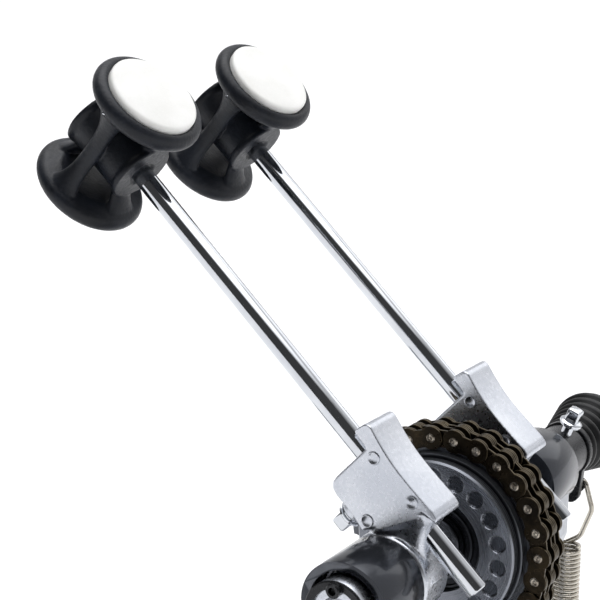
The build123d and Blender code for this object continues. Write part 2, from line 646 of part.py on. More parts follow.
def footboard():
    start, end = 8.0, TOE_ALONG + 6
    outline = make_face(Polyline((-BOARD_HEEL_HALF, start), (BOARD_HEEL_HALF, start),
                                 (BOARD_TOE_HALF, end * 0.8), (BOARD_TOE_HALF - 8, end),
                                 (-BOARD_TOE_HALF + 8, end), (-BOARD_TOE_HALF, end * 0.8), close=True))
    outline = fillet(outline.vertices(), 5)
    board = extrude(Plane.XY.offset(-BOARD_THICK) * outline, BOARD_THICK)
    for row in range(7):
        for column in range(-2, 3):
            if (row + column) % 2 == 0 or row > 0:
                slot = Pos(column * 12.0, 40 + row * 26.0, -BOARD_THICK / 2) * Box(5, 14, 2 * BOARD_THICK)
                board = board - fillet(slot.edges().filter_by(Axis.Z), 2.2)
    for x in (-BOARD_HEEL_HALF + 6, 0, BOARD_HEEL_HALF - 6):
        knuckle = Pos(x, 0, 0) * Rot(0, 90, 0) * Cylinder(5.5, 9)
        board = board + knuckle + Pos(x, start / 2 + 2, -BOARD_THICK / 2) * Box(9, start + 4, BOARD_THICK)
    for x in (-TOE_SCREW_X, TOE_SCREW_X):
        board = board - Pos(x, TOE_ALONG - 13, 0) * Cylinder(1.5 + FIT, 30)
    return BOARD_PLACE * (board - Rot(0, 90, 0) * Cylinder(HINGE_PIN_R + RUN, 200))


def toe_bracket():
    """Two ears bolted on the board's toe, with wide holes for the chain's end pin."""
    inner = STRAND + ROLLER_WIDTH / 2 + 2 * PLATE + 1.8
    base = Pos(0, TOE_ALONG - 6, 1.5) * Box(2 * (inner + EAR_THICK), 24, 3)
    for side in (-1, 1):
        x = side * (inner + EAR_THICK / 2)
        ear = Plane.YZ.offset(x - EAR_THICK / 2) * (Pos(TOE_ALONG, TOE_PIN_RISE) * Circle(TOE_SLOT_R + 3)
                                                    + Pos(TOE_ALONG - 3, 3) * Rectangle(20, 6))
        base = base + extrude(ear, EAR_THICK)
    base = base - Pos(0, TOE_ALONG, TOE_PIN_RISE) * Rot(0, 90, 0) * Cylinder(TOE_SLOT_R, 60)
    base = base - Pos(0, TOE_ALONG + 2, 6.5) * Box(2 * inner, 40, 8.5)
    for x in (-TOE_SCREW_X, TOE_SCREW_X):
        base = base - Pos(x, TOE_ALONG - 13, 0) * Cylinder(1.5 + FIT, 30)
    return BOARD_PLACE * base


def toe_screws():
    return [BOARD_PLACE * (Pos(x, TOE_ALONG - 13, 3) * socket_bolt(1.5, 2.8, 1.8, 6))
            for x in (-TOE_SCREW_X, TOE_SCREW_X)]


def chain_end_pin():
    reach = STRAND + ROLLER_WIDTH / 2 + 2 * PLATE + 1.8 + EAR_THICK + 1
    pin = chain_point(WRAP_LINKS + FREE_LINKS + DROP_LINKS)
    return rod_x(PIN_R, -reach, reach, pin.Y, pin.Z - AXLE_HEIGHT)


def beam_feet():
    """Rubber feet under the beam's two overhanging ends."""
    feet = []
    clear = BASE_HALF + 11.5
    for x in (min(FAR_HOUSING_END + 16, -clear), max(NEAR_HOUSING_END - 16, clear)):
        feet.append(Pos(x, (BEAM_BACK + BEAM_FRONT) / 2, BASE_TOP / 2) * Cylinder(11, BASE_TOP))
    return feet


def heel_plate():
    """Heel rest with the hinge knuckles for the board."""
    top = BASE_TOP + 9
    with BuildSketch(side_plane(-BOARD_HEEL_HALF - 8)) as outline:
        with BuildLine():
            Polyline((HEEL_BACK + 6, BASE_TOP), (HEEL_HINGE_Y - 8, BASE_TOP), (HEEL_HINGE_Y - 8, top + 4),
                     (HEEL_BACK + 16, top + 1), (HEEL_BACK + 6, top - 4), close=True)
        make_face()
    plate = extrude(outline.sketch, 2 * BOARD_HEEL_HALF + 16)
    plate = fillet(plate.edges().filter_by(Axis.Z), 4)
    spans = ((-BOARD_HEEL_HALF - 8, -BOARD_HEEL_HALF + 1), (-BOARD_HEEL_HALF + 11, -5),
             (5, BOARD_HEEL_HALF - 11), (BOARD_HEEL_HALF - 1, BOARD_HEEL_HALF + 8))
    for x0, x1 in spans:
        knuckle = rod_x(5.5, x0, x1, HEEL_HINGE_Y, HEEL_HINGE_Z - AXLE_HEIGHT)
        arm = block(x0, x1, HEEL_HINGE_Y - 10, HEEL_HINGE_Y, BASE_TOP, HEEL_HINGE_Z)
        plate = plate + knuckle + arm
    return plate - rod_x(HINGE_PIN_R + FIT, -60, 60, HEEL_HINGE_Y, HEEL_HINGE_Z - AXLE_HEIGHT)


def heel_pin():
    reach = BOARD_HEEL_HALF + 9
    return rod_x(HINGE_PIN_R, -reach, reach, HEEL_HINGE_Y, HEEL_HINGE_Z - AXLE_HEIGHT)


def spur(x):
    """Pointed anchor spur screwed through the beam's front corner."""
    body = Pos(x, BEAM_FRONT - 9, 15) * Cylinder(3, 22)
    tip = Pos(x, BEAM_FRONT - 9, 3.2) * Cone(0.8, 3, 3)
    knob = Pos(x, BEAM_FRONT - 9, 28) * Cylinder(6, 5)
    return body + tip + knob


# ---------------------------------------------------------------- build
SPUR_X = (NEAR_HOUSING_X - 8, FAR_HOUSING_X + 16)

beam = cross_beam()
for spur_x in SPUR_X:
    beam = beam - Pos(spur_x, BEAM_FRONT - 9, 10) * Cylinder(3 + RUN, 40)
for post_x in (NEAR_HOUSING_X + HOUSING_LENGTH / 2, FAR_HOUSING_X - HOUSING_LENGTH / 2):
    for post_y in (-POST_FOOT + 7, POST_FOOT - 7):
        beam = beam - Pos(post_x, post_y, BEAM_TOP) * Cylinder(BOLT_R + FIT, 18)
plate = base_plate()
for spur_x in SPUR_X:
    plate = plate - Pos(spur_x, BEAM_FRONT - 9, 4) * Cylinder(4, 10)
rubber = base_rubber()
for spur_x in SPUR_X:
    rubber = rubber - Pos(spur_x, BEAM_FRONT - 9, 2) * Cylinder(5, 10)
lip_room = block(-CLAMP_HALF, CLAMP_HALF, BEAM_FRONT - 8, CLAMP_FRONT, 0, BASE_TOP)

export("base_plate", plate - lip_room)
export("base_rubber", rubber)
export("cross_beam", beam)
export("beam_feet", beam_feet())
export("near_post", post(NEAR_HOUSING_X, 1))
export("far_post", post(FAR_HOUSING_X, -1))
export("near_bearing", bearing(NEAR_HOUSING_X, 1))
export("far_bearing", bearing(FAR_HOUSING_X, -1))
export("post_bolts", post_bolts())
export("clamp_jaw", clamp_jaw())
export("clamp_pin", clamp_pin())
export("clamp_pad", clamp_pad())
export("clamp_screw", clamp_screw())
export("heel_plate", heel_plate())
export("heel_hinge_pin", heel_pin())
export("near_spur", spur(SPUR_X[0]))
export("far_spur", spur(SPUR_X[1]))

export("primary_axle", primary_axle())
export("slave_axle", slave_axle())
export("axle_bush", axle_bush())
export("sprocket", sprocket())
export("chain_wrap", chain_run(0, WRAP_LINKS))
for number, letter in enumerate("abc"):
    export(f"chain_link_{letter}", chain_run(WRAP_LINKS + number, 1))
end_pin = chain_point(WRAP_LINKS + FREE_LINKS + DROP_LINKS)
pin_room = rod_x(PIN_R + FIT, -20, 20, end_pin.Y, end_pin.Z - AXLE_HEIGHT)
drop = chain_run(WRAP_LINKS + FREE_LINKS, DROP_LINKS)
export("chain_drop", drop[:-1] + [drop[-1] - pin_room])
export("chain_end_pin", chain_end_pin())

for name, x in (("near", BEATER_NEAR_X), ("far", BEATER_FAR_X)):
    export(f"{name}_hub", hub(x))
    export(f"{name}_hub_bolt", hub_bolt(x))
    export(f"{name}_rod", rod(x))
    export(f"{name}_head", head(x))
    export(f"{name}_insert", insert(x))

for name, x in (("near", NEAR_SPRING_X), ("far", FAR_SPRING_X)):
    export(f"{name}_hook", hook(x))
    export(f"{name}_spring", spring(x))
    export(f"{name}_tension_rod", tension_rod(x))
    export(f"{name}_tension_nuts", tension_nuts(x))
near_arm = NEAR_HOUSING_END + 1.0
export("near_rocker", rocker(NEAR_HOUSING_END - RECESS_DEPTH + 2, near_arm + ROCKER_THICK, 12.0,
                             near_arm, near_arm + ROCKER_THICK, NEAR_SPRING_X + 2.5))
export("far_rocker", rocker(FAR_ROCKER_X - ROCKER_THICK, FAR_ROCKER_X, 12.5,
                            FAR_ROCKER_X - ROCKER_THICK, FAR_ROCKER_X, FAR_SPRING_X - 2.5))

export("drive_collar", drive_collar())
export("drive_collar_bolt", key_bolt(collar_bolt_place(), COLLAR_R + 4.2 - AXLE_R - FIT - 0.1))
export("joint_boot", boot())
export("inner_yoke", inner_yoke())
export("joint_cross", joint_cross())
export("outer_yoke", outer_yoke())

export("footboard", footboard())
export("toe_bracket", toe_bracket())
export("toe_screws", toe_screws())
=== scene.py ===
"""Twin-beater bass drum pedal: finishes, sub-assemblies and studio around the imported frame."""

import json
import logging
import math
from dataclasses import dataclass
from enum import Enum
from typing import Any, Callable, Sequence

import bmesh
import bpy
from mathutils import Matrix, Vector

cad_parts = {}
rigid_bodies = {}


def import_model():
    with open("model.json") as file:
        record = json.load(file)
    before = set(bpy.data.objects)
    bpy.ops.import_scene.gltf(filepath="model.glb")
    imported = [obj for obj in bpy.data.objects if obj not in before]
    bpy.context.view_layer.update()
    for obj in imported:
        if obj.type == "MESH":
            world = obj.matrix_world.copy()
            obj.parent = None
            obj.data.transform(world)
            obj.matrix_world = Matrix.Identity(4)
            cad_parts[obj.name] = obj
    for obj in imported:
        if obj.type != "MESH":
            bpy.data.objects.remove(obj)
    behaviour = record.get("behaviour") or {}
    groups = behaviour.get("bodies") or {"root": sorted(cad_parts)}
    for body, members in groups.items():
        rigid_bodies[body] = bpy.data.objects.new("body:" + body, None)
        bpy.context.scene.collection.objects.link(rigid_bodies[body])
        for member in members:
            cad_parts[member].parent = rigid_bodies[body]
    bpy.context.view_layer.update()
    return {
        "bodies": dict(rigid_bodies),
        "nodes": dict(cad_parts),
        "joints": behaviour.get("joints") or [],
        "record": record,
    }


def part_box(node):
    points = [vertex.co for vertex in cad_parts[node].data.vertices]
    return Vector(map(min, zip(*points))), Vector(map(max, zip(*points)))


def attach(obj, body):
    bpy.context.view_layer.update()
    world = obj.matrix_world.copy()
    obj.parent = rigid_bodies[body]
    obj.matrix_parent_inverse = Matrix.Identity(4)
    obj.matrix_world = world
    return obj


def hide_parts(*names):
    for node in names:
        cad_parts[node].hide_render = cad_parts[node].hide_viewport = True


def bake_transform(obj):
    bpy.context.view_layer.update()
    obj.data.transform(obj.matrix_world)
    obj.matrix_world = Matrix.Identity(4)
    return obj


LOG = logging.getLogger("pedal")
MM = 0.001
X_AXIS = Vector((1.0, 0.0, 0.0))
Y_AXIS = Vector((0.0, 1.0, 0.0))
Z_AXIS = Vector((0.0, 0.0, 1.0))
Profile = Sequence[tuple[float, float]]


# ---------------------------------------------------------------- finishes
class Grain(Enum):
    """How a surface was made, which sets the direction of its grain."""

    PEBBLED = "pebbled"
    BRUSHED = "brushed along X"
    TURNED = "turned about the axle"


def linear(code: str) -> tuple[float, float, float, float]:
    """Turns an sRGB hex colour to a linear one.

    Args:
        code: Colour such as "#1e2126".

    Returns:
        Linear red, green, blue and an alpha of one.
    """
    values = [int(code[i:i + 2], 16) / 255 for i in (1, 3, 5)]
    shades = [v / 12.92 if v <= 0.04045 else ((v + 0.055) / 1.055) ** 2.4 for v in values]
    return shades[0], shades[1], shades[2], 1.0


def add_node(tree: bpy.types.NodeTree, kind: str, settings: dict[str, Any] | None = None,
             links: dict[Any, Any] | None = None) -> bpy.types.Node:
    """Adds one node with its settings and links.

    Args:
        tree: Node tree that gets the node.
        kind: Node type name.
        settings: Property names, or "in:SOCKET" for an input's own value.
        links: Input name or index, to the output socket that feeds it.

    Returns:
        The new node.
    """
    node = tree.nodes.new(kind)
    for key, value in (settings or {}).items():
        if key.startswith("in:"):
            name = key[3:]
            node.inputs[int(name) if name.isdigit() else name].default_value = value
        else:
            setattr(node, key, value)
    for key, socket in (links or {}).items():
        tree.links.new(socket, node.inputs[key])
    return node


@dataclass(frozen=True)
class Finish:
    """One real material and process.

    The grain is in millimetres; a grain too fine to show is given coarser than life.
    """

    name: str
    colour: str
    shade: str
    metallic: float
    roughness: tuple[float, float]
    grain_mm: float
    relief_mm: float
    mottle_mm: float = 14.0
    grain: Grain = Grain.PEBBLED
    coat: float = 0.0
    gloss: float = 0.5
    worn: str = ""
    # Painted highlight colour for faces that do not face along X, such as the chain plates' side edges.
    painted_edge_highlight: str = ""
    centre: tuple[float, float, float] = (0.0, 0.0, 0.0)

    def coordinates(self, tree: bpy.types.NodeTree) -> bpy.types.NodeSocket:
        """Grain coordinates in metres, stretched or wound as the surface was made.

        Args:
            tree: The material's node tree.

        Returns:
            Vector socket for the grain noise.
        """
        place = add_node(tree, "ShaderNodeTexCoord").outputs["Object"]
        offset = tuple(-value for value in self.centre)
        stretch = (0.04, 1.0, 1.0) if self.grain is Grain.BRUSHED else (1.0, 1.0, 1.0)
        moved = add_node(tree, "ShaderNodeMapping", {"in:Location": offset, "in:Scale": stretch},
                         {"Vector": place}).outputs[0]
        if self.grain is not Grain.TURNED:
            return moved
        split = add_node(tree, "ShaderNodeSeparateXYZ", None, {0: moved})
        flat = add_node(tree, "ShaderNodeCombineXYZ", None, {1: split.outputs[1], 2: split.outputs[2]})
        radius = add_node(tree, "ShaderNodeVectorMath", {"operation": "LENGTH"}, {0: flat.outputs[0]})
        return add_node(tree, "ShaderNodeCombineXYZ", None,
                        {0: radius.outputs["Value"], 1: split.outputs[0]}).outputs[0]

    def material(self) -> bpy.types.Material:
        """Builds the material once and returns it after that."""
        found = bpy.data.materials.get(self.name)
        if found:
            return found
        made = bpy.data.materials.new(self.name)
        made.use_nodes = True
        tree = made.node_tree
        shader = tree.nodes["Principled BSDF"]
        place = self.coordinates(tree)
        fine = add_node(tree, "ShaderNodeTexNoise",
                        {"in:Scale": 1 / (self.grain_mm * MM), "in:Detail": 4.0, "in:Roughness": 0.6},
                        {"Vector": place}).outputs[0]
        broad = add_node(tree, "ShaderNodeTexNoise",
                         {"in:Scale": 1 / (self.mottle_mm * MM), "in:Detail": 3.0},
                         {"Vector": place}).outputs[0]
        both = add_node(tree, "ShaderNodeMath", {"operation": "MULTIPLY_ADD", "in:1": 0.35},
                        {0: fine, 2: broad}).outputs[0]
        share = add_node(tree, "ShaderNodeMapRange", {"in:1": 0.5, "in:2": 0.85}, {0: both}).outputs[0]
        tint = add_node(tree, "ShaderNodeMix",
                        {"data_type": "RGBA", "in:6": linear(self.colour), "in:7": linear(self.shade)},
                        {0: share}).outputs[2]
        # Painted highlight: faces that do not face along X are lightened in patches towards the highlight
        # colour.
        if self.painted_edge_highlight:
            facing = add_node(tree, "ShaderNodeSeparateXYZ", None,
                              {0: add_node(tree, "ShaderNodeTexCoord").outputs["Normal"]}).outputs[0]
            flat = add_node(tree, "ShaderNodeMath", {"operation": "ABSOLUTE"}, {0: facing}).outputs[0]
            edge = add_node(tree, "ShaderNodeMapRange", {"in:1": 0.9, "in:2": 0.5}, {0: flat}).outputs[0]
            painted_highlight_mask = add_node(tree, "ShaderNodeMath", {"operation": "MULTIPLY"},
                            {0: edge, 1: broad}).outputs[0]
            tint = add_node(tree, "ShaderNodeMix", {"data_type": "RGBA", "in:7": linear(self.painted_edge_highlight)},
                            {0: painted_highlight_mask, 6: tint}).outputs[2]
        if self.worn:
            edge = add_node(tree, "ShaderNodeNewGeometry").outputs["Pointiness"]
            rub = add_node(tree, "ShaderNodeMapRange", {"in:1": 0.53, "in:2": 0.6}, {0: edge}).outputs[0]
            patchy = add_node(tree, "ShaderNodeMath", {"operation": "MULTIPLY"},
                              {0: rub, 1: broad}).outputs[0]
            tint = add_node(tree, "ShaderNodeMix", {"data_type": "RGBA", "in:7": linear(self.worn)},
                            {0: patchy, 6: tint}).outputs[2]
        tree.links.new(tint, shader.inputs["Base Color"])
        rough = add_node(tree, "ShaderNodeMapRange",
                         {"in:1": 0.3, "in:2": 0.7, "in:3": self.roughness[0], "in:4": self.roughness[1]},
                         {0: fine}).outputs[0]
        tree.links.new(rough, shader.inputs["Roughness"])
        bump = add_node(tree, "ShaderNodeBump", {"in:Strength": 0.6, "in:Distance": self.relief_mm * MM},
                        {"Height": fine}).outputs[0]
        tree.links.new(bump, shader.inputs["Normal"])
        shader.inputs["Metallic"].default_value = self.metallic
        shader.inputs["Coat Weight"].default_value = self.coat
        shader.inputs["Specular IOR Level"].default_value = self.gloss
        return made


# Injection-moulded glass-filled nylon: satin charcoal with a fine spark-eroded grain.
NYLON = Finish("moulded_nylon_charcoal", "#0e1117", "#1a1e26", 0.0, (0.34, 0.5), 1.3, 0.3, gloss=0.3)
# Moulded white acetal: smooth, slightly warm, with a soft sheen.
ACETAL = Finish("moulded_acetal_white", "#f1f1ee", "#e9e9e5", 0.0, (0.38, 0.5), 0.9, 0.02)
# Bright chrome plate: a mirror with only a trace of handling haze.
CHROME = Finish("bright_chrome_plate", "#d2d5d9", "#c6c9ce", 1.0, (0.05, 0.1), 2.0, 0.002)
# Die-cast aluminium, vibratory polished: pale, soft reflections and faint flow marks.
CAST = Finish("polished_cast_aluminium", "#cdd0d6", "#bcc0c8", 1.0, (0.24, 0.34), 1.4, 0.003, 22.0)
# Die-cast aluminium, bead blasted: even light grey.
BLASTED = Finish("blasted_cast_aluminium", "#a9acb1", "#94979d", 1.0, (0.42, 0.58), 0.6, 0.04)
# Tumbled post casting: light silver grey with worn edges.
POST_CAST = Finish("tumbled_post_aluminium", "#c4c7cb", "#aeb1b6", 1.0, (0.3, 0.44), 1.1, 0.04,
                   worn="#e6e8ea")
# Charcoal metallic enamel on a turned sleeve: dark, glossy, with clear soft highlights.
ENAMEL = Finish("charcoal_metallic_enamel", "#2d3037", "#24272d", 0.75, (0.18, 0.25), 0.8, 0.004,
                coat=0.3, worn="#6a6d73")
# Black powder coat on rolled steel: fine orange peel.
POWDER = Finish("black_powder_coat", "#141517", "#1c1d20", 0.0, (0.34, 0.48), 1.0, 0.06, worn="#45484c")
# Black oxide, oiled: deep black metal with a dull gleam.
OXIDE = Finish("oiled_black_oxide", "#101113", "#1a1b1e", 0.6, (0.22, 0.36), 0.9, 0.015, worn="#4a4b4e")
# Ground steel bar: fine lines along its length.
GROUND = Finish("ground_steel", "#b7b8ba", "#a3a4a7", 1.0, (0.16, 0.28), 0.5, 0.01, grain=Grain.BRUSHED)
# Bronze-brown blued chain plate under oil: dark brown, with a painted tan highlight in patches on the plates'
# side edges.
CHAIN = Finish("oiled_bronze_chain_steel", "#2c2417", "#17120b", 0.85, (0.24, 0.4), 1.2, 0.03, 5.0,
               painted_edge_highlight="#655a44")
# Bare rivet ends and rollers: bright steel, darkened by oil in patches.
RIVET = Finish("bare_rivet_steel", "#b5ada0", "#5a5146", 1.0, (0.2, 0.36), 0.8, 0.02, 2.5)
# Nickel plated spring wire: warm silver.
NICKEL = Finish("nickel_plated_wire", "#cfcabf", "#b4aea2", 1.0, (0.16, 0.3), 1.0, 0.01)
# Moulded rubber: matt black with a slight bloom.
RUBBER = Finish("moulded_rubber", "#08090a", "#121315", 0.0, (0.36, 0.5), 1.2, 0.05, gloss=0.35)
# Sintered bronze bush: porous and matt.
BRONZE = Finish("sintered_bronze", "#a07a45", "#7a5a30", 1.0, (0.4, 0.6), 0.5, 0.03)


def turned(name: str, colour: str, shade: str, centre: Vector) -> Finish:
    """Anodised aluminium with lathe lines about the axle.

    Args:
        name: Material name.
        colour: Main colour.
        shade: Second colour.
        centre: Any point of the axle's axis.

    Returns:
        The finish, centred on that axis.
    """
    return Finish(name, colour, shade, 0.85, (0.22, 0.34), 0.45, 0.003, 9.0, Grain.TURNED, worn="#9a9ea5",
                  centre=tuple(centre))


# ---------------------------------------------------------------- mesh tools
def placed(origin: Vector, z: Vector, x: Vector) -> Matrix:
    """Matrix of a place from its origin, its z direction and a rough x direction.

    Args:
        origin: Place of the local origin, in metres.
        z: Local z.
        x: Local x, made square to z.

    Returns:
        Four by four matrix.
    """
    up = z.normalized()
    side = up.cross(x).normalized()
    matrix = Matrix((side.cross(up), side, up)).transposed().to_4x4()
    matrix.translation = origin
    return matrix


def round_line(angle: float) -> float:
    """Plain circle: the same radius at every angle."""
    return 1.0


def squarish(power: float) -> Callable[[float], float]:
    """Shape of a rounded square, as a share of its half width.

    Args:
        power: Exponent; two is a circle and more is squarer.

    Returns:
        Radius by angle.
    """
    def radius(angle: float) -> float:
        """Radius share at one angle."""
        return (abs(math.cos(angle)) ** power + abs(math.sin(angle)) ** power) ** (-1 / power)
    return radius


def ribbed(count: int, depth: float) -> Callable[[float], float]:
    """Knurled outline of count ribs, depth as a share of the radius."""
    return lambda angle: 1.0 - depth * (0.5 - 0.5 * math.cos(count * angle))


def six_sided(angle: float) -> float:
    """Hexagon outline with well rounded corners, as a share of its half diagonal."""
    return 0.9 / max(abs(math.cos(angle % (math.pi / 3) - math.pi / 6)), 0.9)


def lathe(bm: bmesh.types.BMesh, profile: Profile, place: Matrix, segments: int = 96,
          shape: Callable[[float], float] = round_line) -> None:
    """Adds a turned solid.

    Args:
        bm: Mesh that gets the solid.
        profile: Radius and height pairs in millimetres; a closed loop unless both ends are on the axis.
        place: Its local z is the turning axis.
        segments: Steps round the axis.
        shape: Radius share by angle.
    """
    rings: list[list[bmesh.types.BMVert]] = []
    for radius, height in profile:
        count = 1 if radius < 1e-6 else segments
        ring = []
        for step in range(count):
            angle = 2 * math.pi * step / segments
            reach = radius * shape(angle) * MM
            ring.append(bm.verts.new(place @ Vector((reach * math.cos(angle), reach * math.sin(angle),
                                                     height * MM))))
        rings.append(ring)
    pairs = list(zip(rings, rings[1:]))
    if len(rings[0]) > 1 and len(rings[-1]) > 1:
        pairs.append((rings[-1], rings[0]))
    faces = []
    for low, high in pairs:
        if len(low) == 1 and len(high) == 1:
            continue
        for step in range(segments):
            after = (step + 1) % segments
            corners = [low[step % len(low)], low[after % len(low)], high[after % len(high)],
                       high[step % len(high)]]
            faces.append(bm.faces.new(list(dict.fromkeys(corners))))
    bmesh.ops.recalc_face_normals(bm, faces=faces)


def prism(bm: bmesh.types.BMesh, outline: Profile, low: float, high: float, place: Matrix,
          edge: float = 0.0, steps: int = 2) -> None:
    """Adds an outline drawn out along local z, with rounded edges.

    Args:
        bm: Mesh that gets the solid.
        outline: Corners in millimetres.
        low: Start along z, in millimetres.
        high: End along z, in millimetres.
        place: Matrix of the outline's plane.
        edge: Rounding in millimetres.
        steps: Faces across a rounding.
    """
    rings = [[bm.verts.new(place @ Vector((x * MM, y * MM, z * MM))) for x, y in outline]
             for z in (low, high)]
    count = len(outline)
    faces = [bm.faces.new(rings[0]), bm.faces.new(rings[1])]
    for step in range(count):
        after = (step + 1) % count
        faces.append(bm.faces.new((rings[0][step], rings[0][after], rings[1][after], rings[1][step])))
    bmesh.ops.recalc_face_normals(bm, faces=faces)
    if edge:
        sharp = {e for f in faces for e in f.edges if e.calc_face_angle(0.0) > 0.5}
        bmesh.ops.bevel(bm, geom=list(sharp), offset=edge * MM, segments=steps, profile=0.5,
                        affect="EDGES", clamp_overlap=True)


def loft(bm: bmesh.types.BMesh, sections: Sequence[Sequence[Vector]]) -> None:
    """Adds a solid through rings of the same count, closed at both ends.

    Args:
        bm: Mesh that gets the solid.
        sections: Rings of points in metres.
    """
    rings = [[bm.verts.new(point) for point in ring] for ring in sections]
    count = len(rings[0])
    faces = [bm.faces.new(rings[0]), bm.faces.new(rings[-1])]
    for low, high in zip(rings, rings[1:]):
        for step in range(count):
            after = (step + 1) % count
            faces.append(bm.faces.new((low[step], low[after], high[after], high[step])))
    bmesh.ops.recalc_face_normals(bm, faces=faces)


def to_object(name: str, bm: bmesh.types.BMesh) -> bpy.types.Object:
    """Turns a bmesh into a linked object at the origin, and frees the bmesh."""
    mesh = bpy.data.meshes.new(name)
    bm.to_mesh(mesh)
    bm.free()
    made = bpy.data.objects.new(name, mesh)
    bpy.context.scene.collection.objects.link(made)
    return made


def settle(obj: bpy.types.Object) -> None:
    """Turns an object's modifiers into plain mesh and removes them.

    Args:
        obj: Object whose evaluated mesh is kept.
    """
    graph = bpy.context.evaluated_depsgraph_get()
    graph.update()
    old = obj.data
    fresh = bpy.data.meshes.new_from_object(obj.evaluated_get(graph))
    obj.modifiers.clear()
    obj.data = fresh
    bpy.data.meshes.remove(old)


def fuse(obj: bpy.types.Object, voxel_mm: float, rounds: int) -> None:
    """Runs a piece's overlapping solids together as a casting does, with soft inner corners.

    Args:
        obj: Piece of overlapping closed solids.
        voxel_mm: Mesh fineness in millimetres.
        rounds: Smoothing passes.
    """
    remesh = obj.modifiers.new("fuse", "REMESH")
    remesh.mode = "VOXEL"
    remesh.voxel_size = voxel_mm * MM
    smooth = obj.modifiers.new("soften", "SMOOTH")
    smooth.factor = 0.5
    smooth.iterations = rounds
    settle(obj)


def flatten(obj: bpy.types.Object, planes: Sequence[tuple[Vector, Vector]], reach_mm: float = 0.22) -> None:
    """Trues machined faces: points near a plane that face its way are moved onto it.

    Args:
        obj: Piece to true.
        planes: Point and outward normal of each plane.
        reach_mm: How near a point must lie.
    """
    normals = [vertex.normal.copy() for vertex in obj.data.vertices]
    for vertex, normal in zip(obj.data.vertices, normals):
        for point, way in planes:
            gap = (vertex.co - point).dot(way)
            if abs(gap) < reach_mm * MM and normal.dot(way) > 0.985:
                vertex.co -= way * gap
                break


def dress(obj: bpy.types.Object, finish: Finish, body: str, slot: str, *nodes: str,
          crease: float = 32.0) -> bpy.types.Object:
    """Shades, finishes and mounts a piece, and hides the CAD nodes that it stands for.

    Args:
        obj: Piece with its mesh final.
        finish: Its finish.
        body: CAD body that it rides on.
        slot: Record's material slot; not used.
        nodes: CAD nodes that it replaces.
        crease: Edges sharper than this many degrees stay sharp.

    Returns:
        The same object.
    """
    if not obj.data.materials:
        obj.data.materials.append(finish.material())
    obj.data.shade_smooth()
    obj.data.set_sharp_from_angle(angle=math.radians(crease))
    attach(obj, body)
    if nodes:
        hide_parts(*nodes)
    LOG.info("%s: %d faces on %s", obj.name, len(obj.data.polygons), body)
    return obj


def centre_of(node: str) -> Vector:
    """Middle of a CAD node's box."""
    low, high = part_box(node)
    return (low + high) / 2


# ---------------------------------------------------------------- geometry nodes
def repeat_tree() -> bpy.types.GeometryNodeTree:
    """Tree that sets two kinds of solid in turn on a row of points.

    Returns:
        Tree with inputs Even Solid, Odd Solid and Finish; points carry "turn" and "odd".
    """
    found = bpy.data.node_groups.get("solids_on_points")
    if found:
        return found
    tree = bpy.data.node_groups.new("solids_on_points", "GeometryNodeTree")
    for name, way, kind in (("Geometry", "INPUT", "NodeSocketGeometry"),
                            ("Even Solid", "INPUT", "NodeSocketObject"),
                            ("Odd Solid", "INPUT", "NodeSocketObject"),
                            ("Finish", "INPUT", "NodeSocketMaterial"),
                            ("Geometry", "OUTPUT", "NodeSocketGeometry")):
        tree.interface.new_socket(name=name, in_out=way, socket_type=kind)
    given = add_node(tree, "NodeGroupInput").outputs
    turn = add_node(tree, "GeometryNodeInputNamedAttribute",
                    {"data_type": "FLOAT_VECTOR", "in:Name": "turn"}).outputs["Attribute"]
    odd = add_node(tree, "GeometryNodeInputNamedAttribute",
                   {"data_type": "BOOLEAN", "in:Name": "odd"}).outputs["Attribute"]
    even = add_node(tree, "FunctionNodeBooleanMath", {"operation": "NOT"}, {0: odd}).outputs[0]
    joined = add_node(tree, "GeometryNodeJoinGeometry")
    for name, chosen in (("Even Solid", even), ("Odd Solid", odd)):
        shape = add_node(tree, "GeometryNodeObjectInfo", None, {"Object": given[name]}).outputs["Geometry"]
        row = add_node(tree, "GeometryNodeInstanceOnPoints", None,
                       {"Points": given["Geometry"], "Selection": chosen, "Instance": shape,
                        "Rotation": turn})
        tree.links.new(row.outputs[0], joined.inputs[0])
    real = add_node(tree, "GeometryNodeRealizeInstances", None, {0: joined.outputs[0]})
    dressed = add_node(tree, "GeometryNodeSetMaterial", None,
                       {"Geometry": real.outputs[0], "Material": given["Finish"]})
    add_node(tree, "NodeGroupOutput", None, {0: dressed.outputs[0]})
    return tree


def coil_tree() -> bpy.types.GeometryNodeTree:
    """Tree that winds round wire into a coil spring.

    Returns:
        Tree with inputs Turns, Radius, Length, Wire, Place and Finish.
    """
    found = bpy.data.node_groups.get("wound_coil")
    if found:
        return found
    tree = bpy.data.node_groups.new("wound_coil", "GeometryNodeTree")
    for name, kind in (("Geometry", "NodeSocketGeometry"), ("Turns", "NodeSocketFloat"),
                       ("Radius", "NodeSocketFloat"), ("Length", "NodeSocketFloat"),
                       ("Wire", "NodeSocketFloat"), ("Place", "NodeSocketVector"),
                       ("Finish", "NodeSocketMaterial")):
        tree.interface.new_socket(name=name, in_out="INPUT", socket_type=kind)
    tree.interface.new_socket(name="Geometry", in_out="OUTPUT", socket_type="NodeSocketGeometry")
    given = add_node(tree, "NodeGroupInput").outputs
    spiral = add_node(tree, "GeometryNodeCurveSpiral", {"in:Resolution": 28},
                      {"Rotations": given["Turns"], "Start Radius": given["Radius"],
                       "End Radius": given["Radius"], "Height": given["Length"]})
    section = add_node(tree, "GeometryNodeCurvePrimitiveCircle", {"in:Resolution": 10},
                       {"Radius": given["Wire"]})
    wire = add_node(tree, "GeometryNodeCurveToMesh", {"in:Fill Caps": True},
                    {"Curve": spiral.outputs[0], "Profile Curve": section.outputs[0]})
    moved = add_node(tree, "GeometryNodeTransform", None,
                     {"Geometry": wire.outputs[0], "Translation": given["Place"]})
    real = add_node(tree, "GeometryNodeRealizeInstances", None, {0: moved.outputs[0]})
    dressed = add_node(tree, "GeometryNodeSetMaterial", None,
                       {"Geometry": real.outputs[0], "Material": given["Finish"]})
    add_node(tree, "NodeGroupOutput", None, {0: dressed.outputs[0]})
    return tree


